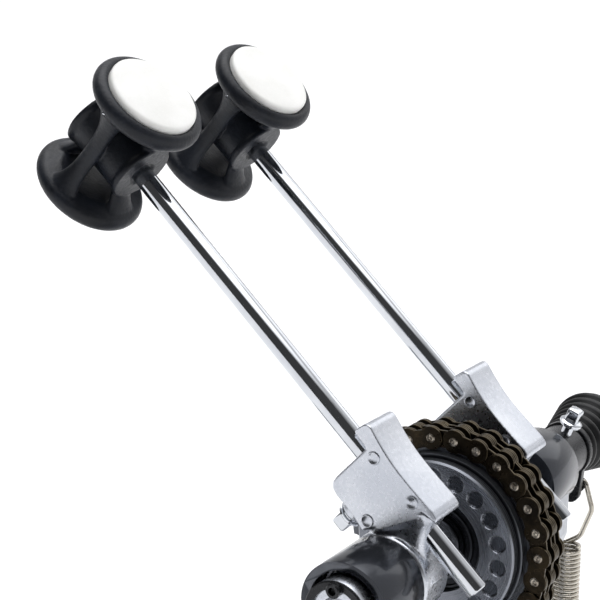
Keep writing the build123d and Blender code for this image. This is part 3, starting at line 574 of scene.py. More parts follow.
def run_tree(obj: bpy.types.Object, tree: bpy.types.GeometryNodeTree, **values: Any) -> None:
    """Runs a tree on an object and keeps the plain mesh.

    Args:
        obj: Object that gets the result.
        tree: Geometry Nodes tree.
        values: Inputs by name, with _ for a space.
    """
    modifier = obj.modifiers.new("repeat", "NODES")
    modifier.node_group = tree
    sockets = {item.name: item.identifier for item in tree.interface.items_tree if item.in_out == "INPUT"}
    for name, value in values.items():
        modifier[sockets[name.replace("_", " ")]] = value
    settle(obj)


def on_points(name: str, spots: Sequence[tuple[Vector, Vector, bool]], even: bpy.types.Object,
              odd: bpy.types.Object, finish: Finish) -> bpy.types.Object:
    """Sets solids on points by Geometry Nodes.

    Args:
        name: Name of the new piece.
        spots: Place, Euler turn, and whether the odd solid goes there.
        even: First solid.
        odd: Second solid.
        finish: Finish of the whole piece.

    Returns:
        The piece, as one plain mesh.
    """
    mesh = bpy.data.meshes.new(name)
    mesh.from_pydata([tuple(spot[0]) for spot in spots], [], [])
    turn = mesh.attributes.new("turn", "FLOAT_VECTOR", "POINT")
    turn.data.foreach_set("vector", [value for spot in spots for value in spot[1]])
    kind = mesh.attributes.new("odd", "BOOLEAN", "POINT")
    kind.data.foreach_set("value", [spot[2] for spot in spots])
    made = bpy.data.objects.new(name, mesh)
    bpy.context.scene.collection.objects.link(made)
    run_tree(made, repeat_tree(), Even_Solid=even, Odd_Solid=odd, Finish=finish.material())
    return made


# ---------------------------------------------------------------- frame facts
@dataclass(frozen=True)
class Layout:
    """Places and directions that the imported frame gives."""

    axle: Vector
    along: Vector
    strike: Vector

    @classmethod
    def read(cls, joints: Sequence[dict[str, Any]]) -> "Layout":
        """Reads the axle and the rods' direction from the joints.

        Args:
            joints: The record's joints.

        Returns:
            The layout.
        """
        named = {joint["name"]: joint for joint in joints}
        along = Vector(named["near_rod_height"]["axis"]).normalized()
        return cls(Vector(named["primary_axle_swing"]["pos_m"]), along, Vector((0.0, along.z, -along.y)))


# ---------------------------------------------------------------- beaters
@dataclass
class BeaterHead:
    """Spool-shaped head: two rims, four struts, a barrel on the rod and a striking disc."""

    side: str
    centre: Vector
    layout: Layout
    rim_r: float = 22.5
    half: float = 27.5
    barrel_r: float = 13.0
    barrel_half: float = 15.0
    insert_r: float = 17.85
    turn_deg: float = 4.2

    def place(self) -> Matrix:
        """Local z out of the striking face, local x up the rod."""
        turned = Matrix.Rotation(math.radians(self.turn_deg), 3, self.layout.along) @ self.layout.strike
        other = Matrix.Rotation(-math.radians(self.turn_deg), 3, self.layout.along) @ self.layout.strike
        return placed(self.centre, turned if turned.x > other.x else other, self.layout.along)

    def rim(self, bm: bmesh.types.BMesh, way: float, recess_r: float, recess: float) -> None:
        """Adds one rimmed disc.

        Args:
            bm: Mesh that gets it.
            way: One for the striking end, minus one for the other.
            recess_r: Radius of the pocket in its face.
            recess: Depth of the pocket.
        """
        top = self.half - 0.9
        edge = [(recess_r, top - recess), (recess_r, top - 0.9), (recess_r + 0.4, top - 0.4)]
        for step in range(1, 13):
            angle = math.radians(95 - 15 * step)
            edge.append((self.rim_r - 3.7 + 3.7 * math.cos(angle), top - 3.8 + 3.8 * math.sin(angle)))
        profile = [(0.0, top - recess), *edge, (15.0, top - 8.9), (0.0, top - 8.4)]
        lathe(bm, [(r, way * z) for r, z in profile], self.place())

    def strut(self, bm: bmesh.types.BMesh, angle: float, width: float, depth: float) -> None:
        """Adds one concave strut between the rims.

        Args:
            bm: Mesh that gets it.
            angle: Direction round the head's axis.
            width: Half width at the waist.
            depth: Distance from the head's axis at the waist.
        """
        place = self.place() @ Matrix.Rotation(angle, 4, "Z")
        sections = []
        for step in range(-10, 11):
            t = step / 10
            z = t * (self.half - 6.0)
            radius = depth + (18.2 - depth) * abs(t) ** 2.2
            wide = width + 4.8 * abs(t) ** 4
            thick = 2.5 + 1.2 * abs(t) ** 4
            ring = []
            for turn in range(20):
                a = 2 * math.pi * turn / 20
                ring.append(place @ (Vector((radius + thick * math.cos(a), wide * math.sin(a), z)) * MM))
            sections.append(ring)
        loft(bm, sections)

    def build(self) -> None:
        """Builds the head and its striking disc."""
        bm = bmesh.new()
        self.rim(bm, 1.0, self.insert_r + 0.1, 4.0)
        self.rim(bm, -1.0, self.rim_r - 6.5, 6.0)
        for quarter in range(4):
            self.strut(bm, quarter * math.pi / 2, *((3.5, 13.9) if quarter % 2 else (4.4, 9.2)))
        place = self.place()
        barrel = placed(self.centre, self.layout.along, place.col[2].to_3d())
        r, h = self.barrel_r, self.barrel_half
        lathe(bm, [(0, -h + 1.0), (5.0, -h + 1.0), (5.8, -h), (r - 0.3, -h), (r, -h + 0.3), (r, -h + 1.6),
                   (r - 0.9, -h + 3.2), (r - 0.9, h - 3.2), (r, h - 1.6), (r, h - 0.3), (r - 0.3, h), (0, h)],
              barrel)
        head = to_object(f"{self.side}_head_moulding", bm)
        fuse(head, 0.45, 3)
        dress(head, NYLON, f"{self.side}_head", "moulded_black", f"{self.side}_head", crease=80)

        bm = bmesh.new()
        r, top = self.insert_r + 0.1, self.half + 2.0
        lathe(bm, [(0, top), (r * 0.3, top - 0.09), (r * 0.5, top - 0.25), (r * 0.7, top - 0.5),
                   (r * 0.85, top - 0.75), (r - 1.4, top - 0.92), (r - 0.6, top - 1.15), (r - 0.15, top - 1.6),
                   (r, top - 2.2), (r - 0.1, top - 5.6), (0, top - 5.6)], place, 128)
        pin = place @ Matrix.Rotation(math.radians(86), 4, "Z") @ (Vector((self.rim_r - 1.3, 0, 20.6)) * MM)
        screw = bmesh.new()
        lathe(screw, [(0, -1.5), (0.9, -1.5), (0.9, 0.5), (0.6, 0.75), (0, 0.8)],
              placed(pin, pin - self.centre, self.layout.along), 24)
        dress(to_object(f"{self.side}_rim_pin", screw), CHROME, f"{self.side}_head", "bright_chrome")
        disc = to_object(f"{self.side}_striking_disc", bm)
        dress(disc, ACETAL, f"{self.side}_head", "white_disc", f"{self.side}_insert", crease=60)


@dataclass
class BeaterRod:
    """Chromed round bar with chamfered ends."""

    side: str
    layout: Layout
    radius: float = 4.0

    def build(self) -> None:
        """Builds the bar on its CAD node's own axis."""
        middle = centre_of(f"{self.side}_rod")
        low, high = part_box(f"{self.side}_rod")
        height = (high.z - low.z) / MM
        lean = self.layout.along.z
        half = (height - 2 * self.radius * math.sqrt(1 - lean * lean)) / lean / 2 + 0.4
        r = self.radius
        bm = bmesh.new()
        lathe(bm, [(0, -half), (r - 0.7, -half), (r - 0.15, -half + 0.35), (r, -half + 0.9),
                   (r, half - 0.9), (r - 0.15, half - 0.35), (r - 0.7, half), (0, half)],
              placed(middle, self.layout.along, X_AXIS), 96)
        rod = to_object(f"{self.side}_chromed_rod", bm)
        dress(rod, CHROME, f"{self.side}_rod", "bright_chrome", f"{self.side}_rod")


@dataclass
class KeyBolt:
    """Drum-key bolt: washer, flange, and a square domed head."""

    half: float = 3.0
    shank_r: float = 2.5

    def build(self, name: str, place: Matrix, shank: float, body: str, node: str) -> None:
        """Builds one bolt.

        Args:
            name: Piece name.
            place: Local z out of the head, origin on the washer's underside.
            shank: Shank length in millimetres.
            body: CAD body.
            node: CAD node that it replaces.
        """
        bm = bmesh.new()
        lathe(bm, [(0, -shank), (self.shank_r - 0.4, -shank), (self.shank_r, -shank + 0.5), (self.shank_r, 0.2),
                   (0, 0.2)], place, 40)
        lathe(bm, [(0, 0.0), (4.1, 0.0), (4.4, 0.2), (4.4, 0.6), (4.1, 0.8), (0, 0.8)], place, 56)
        lathe(bm, [(0, 0.8), (4.6, 0.8), (5.0, 1.1), (5.0, 1.9), (4.5, 2.4), (3.2, 2.7), (0, 2.7)], place, 56)
        h = self.half
        lathe(bm, [(0, 2.0), (h * 0.96, 2.0), (h, 3.0), (h, 7.1), (h * 0.93, 7.8), (h * 0.7, 8.3),
                   (h * 0.35, 8.5), (0, 8.5)], place, 64, squarish(7.0))
        dress(to_object(name, bm), CHROME, body, "bright_chrome", node, crease=38)


@dataclass
class BeaterHub:
    """Cast beater holder: clamp body with a proud front lip, neck, and a ring on the axle."""

    side: str
    body: str
    layout: Layout
    half: float = 9.25
    ring_r: float = 17.0
    rod_out: float = 22.5
    lip_proud: float = 0.15
    bolt_along: float = 26.0
    bolt_reach: float = 11.5
    marks: Profile = ((29.5, 34.2), (30.3, 13.9), (10.7, 19.4))
    clamp_outline: Profile = ((7.0, 33.4), (7.1, 24.5), (6.2, 17.8), (30.2, 8.4), (33.0, 7.4), (33.0, 28.0),
                              (34.4, 35.3), (35.8, 43.0), (30.0, 46.0), (29.6, 38.5), (12.0, 38.5),
                              (9.2, 38.0), (7.6, 36.4))

    def lip_outline(self) -> list[tuple[float, float]]:
        """Lip's outline: its front is flat below and leans out towards the top."""
        front = []
        for up in (7.0, 10.0, 13.0, 16.0, 19.0, 22.0, 25.0, 27.5, 30.0, 32.5, 35.0, 37.5, 40.0, 42.6):
            bow = 0.12 * ((24.0 - up) / 8) ** 2 if up < 24 else 2.9 * ((up - 24.0) / 19) ** 1.7
            front.append((33.9 + bow, up))
        return [(31.2, 8.6), (31.7, 5.5), (32.3, 3.2), (33.0, 3.0), (34.0, 4.4), *front, (36.5, 44.2),
                (35.2, 45.2), (31.0, 46.0), (31.2, 28.0)]

    def place(self) -> Matrix:
        """Local x out of the strike, local y up the rod, local z across."""
        origin = self.layout.axle.copy()
        origin.x = centre_of(f"{self.side}_rod").x
        return placed(origin, X_AXIS, self.layout.strike)

    def neck(self, bm: bmesh.types.BMesh, place: Matrix) -> None:
        """Adds the neck, drawn in smoothly below the body, down to the ring.

        Args:
            bm: Mesh that gets it.
            place: The hub's own place.
        """
        rows = []
        for number in range(38):
            depth = -21.0 + 0.75 * number
            start = max(0.6 - 0.6 * (depth + 18.4), -9.0)
            end = 16.2 + 12.4 * math.exp(-max(depth + 15.2, 0.0) / 5.2)
            t = min(max((depth + 18.4) / 7.5, 0.0), 1.0)
            wide = self.half - 0.05 - 2.6 * t * t * (3 - 2 * t)
            row = []
            for turn in range(40):
                a = 2 * math.pi * turn / 40
                share = squarish(6.0)(a)
                s = (start + end) / 2 + (end - start) / 2 * share * math.cos(a)
                out, up = 0.931 * s - 0.364 * depth, -0.364 * s - 0.931 * depth
                row.append(place @ (Vector((out, up, wide * share * math.sin(a))) * MM))
            rows.append(row)
        loft(bm, rows)

    def build(self) -> None:
        """Builds the casting, its ejector marks and its clamp bolt."""
        place = self.place()
        w = self.half
        bm = bmesh.new()
        prism(bm, self.clamp_outline, -w, w, place, 0.5)
        # Front lip, a shade wider than the body, which leaves a fine parting line.
        wide = w + self.lip_proud
        prism(bm, self.lip_outline(), -wide, wide, place, 0.8, 3)
        self.neck(bm, place)
        ring = placed(place.translation, X_AXIS, self.layout.strike)
        r = self.ring_r
        lathe(bm, [(0, -w), (r - 1.0, -w), (r, -w + 1), (r, w - 1), (r - 1.0, w), (0, w)], ring)
        # Boss under the clamp bolt.
        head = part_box(f"{self.side}_hub_bolt")
        tip = min((Vector((0, y, z)) - self.layout.axle).dot(self.layout.strike)
                  for y in (head[0].y, head[1].y) for z in (head[0].z, head[1].z)) / MM
        seat_out = max(tip + self.bolt_reach, -1.5)
        spot = place @ (Vector((7.0, self.bolt_along, 0)) * MM)
        boss = placed(spot, -self.layout.strike, self.layout.along)
        top = 7.0 - seat_out
        lathe(bm, [(0, -3), (5.2, -3), (4.9, top - 0.4), (4.6, top), (0, top)], boss, 56)
        casting = to_object(f"{self.side}_hub_casting", bm)
        fuse(casting, 0.36, 7)
        sides = [(place @ (Vector((0, 0, s * w)) * MM), X_AXIS * s) for s in (-1, 1)]
        flatten(casting, sides)
        bm = bmesh.new()
        bm.from_mesh(casting.data)
        for s in (-1, 1):
            for out, up in self.marks:
                mark = placed(place @ (Vector((out, up, s * w)) * MM), X_AXIS * s, self.layout.strike)
                lathe(bm, [(0, -0.3), (2.5, -0.3), (2.5, 0.3), (2.3, 0.42), (2.0, 0.42), (1.8, 0.2), (0, 0.2)],
                      mark, 40)
        bm.to_mesh(casting.data)
        bm.free()
        dress(casting, CAST, self.body, "polished_cast", f"{self.side}_hub", crease=50)
        under = place @ (Vector((seat_out, self.bolt_along, 0)) * MM)
        seat = placed(under, -self.layout.strike, self.layout.along)
        KeyBolt().build(f"{self.side}_clamp_bolt", seat, 6.0, self.body, f"{self.side}_hub_bolt")


# ---------------------------------------------------------------- drive train
@dataclass
class Sprocket:
    """Dished duplex sprocket with a turned and dimpled near flange."""

    layout: Layout
    pitch: float = 9.525
    teeth: int = 26
    roller_r: float = 2.54
    strand: float = 3.75
    tooth_width: float = 2.9
    flange_r: float = 32.7
    flange_out: float = 13.7
    recess_r: float = 19.0
    dimple_r: float = 3.2
    dimple_ring: float = 26.6
    dimples: int = 18
    dimple_start_deg: float = 18.5
    dimple_depth: float = 1.1
    rim_bevel: float = 0.7
    recess: float = 3.6
    seat_play: float = 0.35
    wrap_end_deg: float = 103.1

    def pitch_radius(self) -> float:
        """Radius of the chain pins on the sprocket, in millimetres."""
        return self.pitch / (2 * math.sin(math.pi / self.teeth))

    def place(self) -> Matrix:
        """Local z along the axle, local x up, local y towards minus Y."""
        return placed(self.layout.axle, X_AXIS, Z_AXIS)

    def toothed(self, bm: bmesh.types.BMesh, middle: float) -> None:
        """Adds one toothed disc.

        Args:
            bm: Mesh that gets it.
            middle: Its middle plane along the axle.
        """
        pitch_r = self.pitch_radius()
        seat = self.roller_r + self.seat_play
        step = 2 * math.pi / self.teeth
        outline = []
        for mark in range(self.teeth * 28):
            angle = mark * step / 28
            off = (angle / step - round(angle / step)) * step
            across = pitch_r * math.sin(off)
            radius = pitch_r + 0.25
            if abs(across) < seat:
                radius = min(radius, pitch_r * math.cos(off) - math.sqrt(seat ** 2 - across ** 2))
            turned = angle - math.radians(self.wrap_end_deg)
            outline.append((radius * math.cos(turned), radius * math.sin(turned)))
        prism(bm, outline, middle - self.tooth_width / 2, middle + self.tooth_width / 2, self.place())

    def flange_face(self, bm: bmesh.types.BMesh) -> None:
        """Adds the near flange as a turned skin whose face carries the dimples."""
        steps, rings = 720, 48
        inner, outer = self.recess_r, self.flange_r - self.rim_bevel
        marks = [math.radians(self.dimple_start_deg + k * 360 / self.dimples) for k in range(self.dimples)]
        place = self.place()

        def height(radius: float, angle: float) -> float:
            """Face height at a point, in millimetres."""
            top = self.flange_out
            for mark in marks:
                dx = radius * math.cos(angle) - self.dimple_ring * math.cos(mark)
                dy = radius * math.sin(angle) - self.dimple_ring * math.sin(mark)
                gap = math.hypot(dx, dy)
                if gap < self.dimple_r + 0.3:
                    t = min(max((self.dimple_r + 0.3 - gap) / 0.7, 0.0), 1.0)
                    return top - self.dimple_depth * t * t * (3 - 2 * t)
            return top

        radii = [inner + (outer - inner) * k / rings for k in range(rings + 1)]
        rows: list[list[bmesh.types.BMVert]] = []
        out = self.flange_out
        table = [(inner - 0.2, out - self.recess, False)] + [(r, 0.0, True) for r in radii]
        table += [(self.flange_r, out - self.rim_bevel, False), (self.flange_r, out - 6.0, False),
                  (inner + 1.0, out - 6.0, False)]
        for radius, level, shaped in table:
            row = []
            for step in range(steps):
                angle = 2 * math.pi * step / steps
                z = height(radius, angle) if shaped else level
                point = Vector((radius * math.cos(angle), -radius * math.sin(angle), z)) * MM
                row.append(bm.verts.new(place @ point))
            rows.append(row)
        faces = []
        for low, high in zip(rows, rows[1:]):
            for step in range(steps):
                after = (step + 1) % steps
                faces.append(bm.faces.new((low[step], low[after], high[after], high[step])))
                level = min(low[step].co.x, high[step].co.x) - place.translation.x
                floor = high[step].co.x - place.translation.x > 12.0 * MM
                if level < (out - 0.85) * MM:
                    faces[-1].material_index = 2 if floor else 1
        bmesh.ops.recalc_face_normals(bm, faces=faces)

    def build(self) -> None:
        """Builds the bright-edged flange and core, and the toothed discs."""
        bm = bmesh.new()
        self.flange_face(bm)
        place = self.place()
        core = self.pitch_radius() - 5.2
        out = self.flange_out
        ring_faces = len(bm.faces)
        # Turned steps of the recess and the boss round the axle.
        lathe(bm, [(6.0, -8.2), (10.0, -8.2), (10.0, -5.2), (core, -5.2), (core, out - 4.2),
                   (core - 0.6, out - 3.8), (19.2, out - 3.6), (18.6, out - 3.0), (17.6, out - 3.0),
                   (17.2, out - 3.7), (14.9, out - 3.7), (14.6, out - 3.1), (13.8, out - 3.1),
                   (13.5, out - 3.7), (11.6, out - 3.7), (11.2, out - 2.6), (10.2, out - 2.4),
                   (9.9, out - 1.4), (9.4, out - 1.0), (6.0, out - 1.0)], place, 144)
        bm.faces.ensure_lookup_table()
        for face in bm.faces[ring_faces:]:
            face.material_index = 1
        wheel = to_object("turned_flange", bm)
        flange = turned("turned_grey_anodised_aluminium", "#7f8289", "#777a81", self.layout.axle)
        black = turned("turned_black_anodised_aluminium", "#1b1c20", "#222428", self.layout.axle)
        pressed = turned("turned_dark_anodised_aluminium", "#4d5057", "#3f4248", self.layout.axle)
        for finish in (flange, black, pressed):
            wheel.data.materials.append(finish.material())
        dress(wheel, flange, "primary_axle", "sprocket_black", "sprocket", crease=30)
        bm = bmesh.new()
        for middle in (-self.strand, self.strand):
            self.toothed(bm, middle)
        dress(to_object("toothed_discs", bm), black, "primary_axle", "sprocket_black", crease=30)


@dataclass
class RollerChain:
    """Duplex roller chain: figure-eight plates, rollers and riveted pins."""

    layout: Layout
    sprocket: Sprocket
    plate: float = 0.9
    plate_r: float = 4.6
    waist: float = 3.45
    pin_r: float = 1.5
    roller_width: float = 3.2
    wrap_links: int = 9
    free_links: int = 3
    drop_links: int = 5

    def pin(self, number: int) -> Vector:
        """Pin by number: 0 is the first on the sprocket, then round it and down.

        Args:
            number: Pin number.

        Returns:
            Its place in metres.
        """
        last = self.wrap_links + self.free_links
        end = math.radians(self.sprocket.wrap_end_deg)
        radius = self.sprocket.pitch_radius() * MM
        angle = end - max(last - number, 0) * 2 * math.pi / self.sprocket.teeth
        spot = self.layout.axle + Vector((0, radius * math.sin(angle), radius * math.cos(angle)))
        down = Vector((0, math.cos(end), -math.sin(end)))
        return spot + down * (self.sprocket.pitch * MM * max(number - last, 0))

    def plate_outline(self) -> list[tuple[float, float]]:
        """Figure-eight outline from pin to pin, in millimetres."""
        pitch, r = self.sprocket.pitch, self.plate_r
        points = []
        for end, start in ((pitch, -132), (0.0, 48)):
            for step in range(23):
                angle = math.radians(start + step * 264 / 22)
                points.append((end + r * math.cos(angle), r * math.sin(angle)))
            points.append((pitch / 2, self.waist if end else -self.waist))
        return points

    def link(self, name: str, spreads: Sequence[float]) -> bpy.types.Object:
        """Plates of one link kind, with eased edges.

        Args:
            name: Object name.
            spreads: Plate places from each strand's middle.

        Returns:
            Object whose local y runs from pin to pin.
        """
        place = placed(Vector(), X_AXIS, Y_AXIS)
        bm = bmesh.new()
        for strand in (-self.sprocket.strand, self.sprocket.strand):
            for spread in spreads:
                middle = strand + spread
                prism(bm, self.plate_outline(), middle - self.plate / 2, middle + self.plate / 2, place)
        rims = [e for e in bm.edges if e.calc_face_angle(0.0) > 1.2]
        bmesh.ops.bevel(bm, geom=rims, offset=0.16 * MM, segments=1, affect="EDGES", clamp_overlap=True)
        return to_object(name, bm)

    def pins(self, name: str, outer: bool) -> bpy.types.Object:
        """Riveted pins of an outer link, or rollers of an inner one.

        Args:
            name: Object name.
            outer: Whether the link is an outer one.

        Returns:
            Object in the link's own place.
        """
        bm = bmesh.new()
        pitch = self.sprocket.pitch
        for along in (0.0, pitch):
            spot = Vector((0, along * MM, 0))
            if outer:
                end = 7.75
                r = self.pin_r
                lathe(bm, [(0, -end), (0.5, -end), (0.7, -end + 0.12), (r - 0.25, -end), (r + 0.25, -end + 0.3),
                           (r + 0.2, -end + 0.42), (r, -end + 0.45), (r, end - 0.45), (r + 0.2, end - 0.42),
                           (r + 0.25, end - 0.3), (r - 0.25, end), (0.7, end - 0.12), (0.5, end), (0, end)],
                      placed(spot, X_AXIS, Y_AXIS), 20)
            else:
                half = self.roller_width / 2
                for strand in (-self.sprocket.strand, self.sprocket.strand):
                    r = self.sprocket.roller_r
                    lathe(bm, [(1.6, strand - half), (r - 0.2, strand - half), (r, strand - half + 0.2),
                               (r, strand + half - 0.2), (r - 0.2, strand + half), (1.6, strand + half)],
                          placed(spot, X_AXIS, Y_AXIS), 28)
        return to_object(name, bm)

    def build(self) -> None:
        """Builds every run of links, one plate piece and one pin piece for each body."""
        spread = self.roller_width / 2 + self.plate * 1.5 + 0.2
        inner = (self.roller_width + self.plate) / 2
        solids = [self.link("outer_plates", (-spread, spread)), self.link("inner_plates", (-inner, inner)),
                  self.pins("riveted_pins", True), self.pins("rollers", False)]
        last = self.wrap_links + self.free_links
        runs = [("chain_wrap", "primary_axle", 0, self.wrap_links)]
        runs += [(f"chain_link_{letter}", f"chain_link_{letter}", self.wrap_links + k, 1)
                 for k, letter in enumerate("abc")]
        runs.append(("chain_drop", "chain_drop", last, self.drop_links))
        for node, body, first, count in runs:
            spots = []
            for number in range(first, first + count):
                way = self.pin(number + 1) - self.pin(number)
                spots.append((self.pin(number), Vector((math.atan2(way.z, way.y), 0, 0)), number % 2 == 0))
            plates = on_points(f"{node}_plates", spots, solids[0], solids[1], CHAIN)
            dress(plates, CHAIN, body, "chain_bronze", node)
            pins = on_points(f"{node}_pins", spots, solids[2], solids[3], RIVET)
            dress(pins, RIVET, body, "chain_bronze")
        for solid in solids:
            bpy.data.objects.remove(solid)


# ---------------------------------------------------------------- castings kept from the frame
@dataclass
class Casting:
    """A frame part whose shape is right: its copy gets eased edges and a finish."""

    node: str
    body: str
    slot: str
    finish: Finish
    edge: float = 0.5
    crease: float = 34.0

    def build(self, sleeve: tuple[Finish, Vector, float] | None = None) -> bpy.types.Object:
        """Builds the copy.

        Args:
            sleeve: Second finish for what lies within a radius in metres of the axle, if any.

        Returns:
            The new piece.
        """
        mesh = bpy.data.objects[self.node].data.copy()
        bm = bmesh.new()
        bm.from_mesh(mesh)
        bmesh.ops.remove_doubles(bm, verts=bm.verts, dist=2e-6)
        bmesh.ops.dissolve_limit(bm, angle_limit=math.radians(0.6), verts=bm.verts, edges=bm.edges)
        bpy.data.meshes.remove(mesh)
        made = to_object(f"{self.node}_finished", bm)
        made.data.materials.clear()
        if self.edge:
            bevel = made.modifiers.new("ease", "BEVEL")
            bevel.width = self.edge * MM
            bevel.segments = 2
            bevel.limit_method = "ANGLE"
            bevel.angle_limit = math.radians(40)
            bevel.harden_normals = False
            settle(made)
        made.data.materials.clear()
        made.data.materials.append(self.finish.material())
        if sleeve:
            second, axle, radius = sleeve
            made.data.materials.append(second.material())
            for face in made.data.polygons:
                offset = face.center - axle
                face.material_index = int(math.hypot(offset.y, offset.z) < radius)
        return dress(made, self.finish, self.body, self.slot, self.node, crease=self.crease)


# ---------------------------------------------------------------- springs
@dataclass
class Spring:
    """Wound tension spring between the hook and the tension rod."""

    side: str
    radius: float = 7.0
    wire: float = 0.9

    def build(self) -> None:
        """Winds the coil in place of the CAD spring, over its length."""
        low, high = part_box(f"{self.side}_spring")
        middle = (low + high) / 2
        length = (high.z - low.z) - 2 * self.wire * MM
        coil = to_object(f"{self.side}_wound_spring", bmesh.new())
        run_tree(coil, coil_tree(), Turns=length / (2.25 * self.wire * MM),
                 Radius=(self.radius - self.wire) * MM,
                 Length=length, Wire=self.wire * MM,
                 Place=(middle.x, middle.y, low.z + self.wire * MM), Finish=NICKEL.material())
        coil.data.shade_smooth()
        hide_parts(f"{self.side}_spring")
        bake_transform(coil)
        LOG.info("%s: %d faces", coil.name, len(coil.data.polygons))


# ---------------------------------------------------------------- drive end
@dataclass
class DriveEnd:
    """Black collar with its key bolt, and the ribbed cover of the universal joint."""

    layout: Layout
    ribs: int = 6
    start_r: float = 12.0
    end_r: float = 18.0
    length: float = 30.0
    collar_r: float = 11.7

    def build(self) -> None:
        """Builds collar, bolt and cover."""
        low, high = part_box("drive_collar")
        start = self.layout.axle.copy()
        start.x = high.x
        back = placed(start, -X_AXIS, Z_AXIS)
        r, long = self.collar_r, (high.x - low.x) / MM
        bm = bmesh.new()
        lathe(bm, [(6.05, 0.1), (r - 0.9, 0.1), (r, 0.9), (r, long - 0.9), (r - 0.9, long), (6.05, long)], back)
        dress(to_object("collar_turning", bm), OXIDE, "slave_axle", "black_oxide", "drive_collar")

        angle = math.radians(21.5)
        way = Vector((0, math.sin(angle), math.cos(angle)))
        seat = self.layout.axle + way * (self.collar_r + 4.2) * MM
        seat.x = centre_of("drive_collar_bolt").x
        KeyBolt().build("collar_key_bolt", placed(seat, way, X_AXIS), self.collar_r + 4.2 - 6.2, "slave_axle",
                        "drive_collar_bolt")

        low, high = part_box("joint_boot")
        start = self.layout.axle.copy()
        start.x = high.x
        rib = self.length / self.ribs
        outside: list[tuple[float, float]] = [(6.5, 0.05), (self.start_r - 2.6, 0.05),
                                              (self.start_r - 2.0, 0.4)]
        for number in range(self.ribs):
            top = self.start_r + (self.end_r - self.start_r) * (number + 1) / self.ribs
            valley = top - 1.0
            for share, lift in ((0.1, 0.0), (0.2, 0.45), (0.3, 0.85), (0.42, 1.0), (0.58, 1.0), (0.7, 0.85),
                                (0.8, 0.45), (0.9, 0.0)):
                outside.append((valley - 0.6 + 1.6 * lift, rib * (number + share)))
        outside += [(self.end_r - 0.6, self.length - 0.1), (self.end_r - 2.6, self.length),
                    (self.end_r - 3.2, self.length - 0.4), (self.start_r - 2.4, 2.6), (6.5, 2.5)]
        bm = bmesh.new()
        lathe(bm, outside, placed(start, -X_AXIS, Z_AXIS), 128)
        dress(to_object("ribbed_joint_cover", bm), RUBBER, "slave_axle", "rubber", "joint_boot", crease=70)


# ---------------------------------------------------------------- turned small parts
@dataclass
class TensionNuts:
    """Knurled spring nut and its lock nut."""

    side: str

    def build(self) -> None:
        """Builds both nuts on the tension rod."""
        low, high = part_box(f"{self.side}_tension_nuts")
        spot = Vector(((low.x + high.x) / 2, (low.y + high.y) / 2, low.z))
        place = placed(spot, Z_AXIS, X_AXIS)
        bm = bmesh.new()
        lathe(bm, [(3.02, 0.3), (7.0, 0.0), (7.8, 0.8), (8.0, 1.4), (8.0, 6.2), (7.8, 6.8), (7.0, 7.5),
                   (3.02, 7.4)], place, 240, ribbed(30, 0.06))
        tall = (high.z - low.z) / MM
        lathe(bm, [(3.02, tall - 4.0), (4.9, tall - 4.0), (5.4, tall - 3.6), (5.4, tall - 0.4), (4.9, tall),
                   (3.02, tall)], place, 96, six_sided)
        dress(to_object(f"{self.side}_knurled_nuts", bm), CHROME, "frame", "bright_chrome",
              f"{self.side}_tension_nuts")


@dataclass
class SocketScrews:
    """Socket-head screws, set in their places by Geometry Nodes."""

    head_r: float = 4.2
    head_h: float = 4.5

    def pattern(self) -> bpy.types.Object:
        """One screw head with its round socket, local z out of the head."""
        bm = bmesh.new()
        r, h = self.head_r, self.head_h
        lathe(bm, [(0, 0), (r - 0.2, 0), (r, 0.3), (r, h - 0.5), (r - 0.4, h), (r * 0.62, h),
                   (r * 0.55, h - 0.2), (r * 0.5, h * 0.45), (0, h * 0.4)], Matrix.Identity(4), 48)
        return to_object("socket_screw", bm)

    def build(self, layout: Layout) -> None:
        """Sets the screw and ring of the near spring rocker, and the screws of both posts."""
        screw = self.pattern()
        end = placed(layout.axle.copy(), X_AXIS, Z_AXIS)
        end.translation.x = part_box("near_rocker")[1].x - 10.5 * MM
        bm = bmesh.new()
        lathe(bm, [(9.2, 0.0), (12.2, 0.0), (12.2, 0.6), (11.8, 0.9), (9.6, 0.9), (9.2, 0.6)], end)
        lathe(bm, [(0, -0.5), (2.5, -0.5), (2.7, 0.0), (2.7, 2.6), (2.3, 3.0), (1.5, 3.0), (1.4, 2.8),
                   (1.3, 1.4), (0, 1.3)], end @ Matrix.Translation((9.4 * MM, 0, 0)), 48)
        dress(to_object("rocker_ring_and_screw", bm), OXIDE, "primary_axle", "black_oxide")
        spots = []
        for node in ("near_post", "far_post"):
            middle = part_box("post_bolts")
            x = middle[1].x - self.head_r * MM if node == "near_post" else middle[0].x + self.head_r * MM
            for y in (middle[0].y + self.head_r * MM, middle[1].y - self.head_r * MM):
                spots.append((Vector((x, y, middle[1].z - self.head_h * MM)), Vector((0, 0, 0)), False))
        row = on_points("post_screw_heads", spots, screw, screw, OXIDE)
        bpy.data.objects.remove(screw)
        dress(row, OXIDE, "frame", "black_oxide")


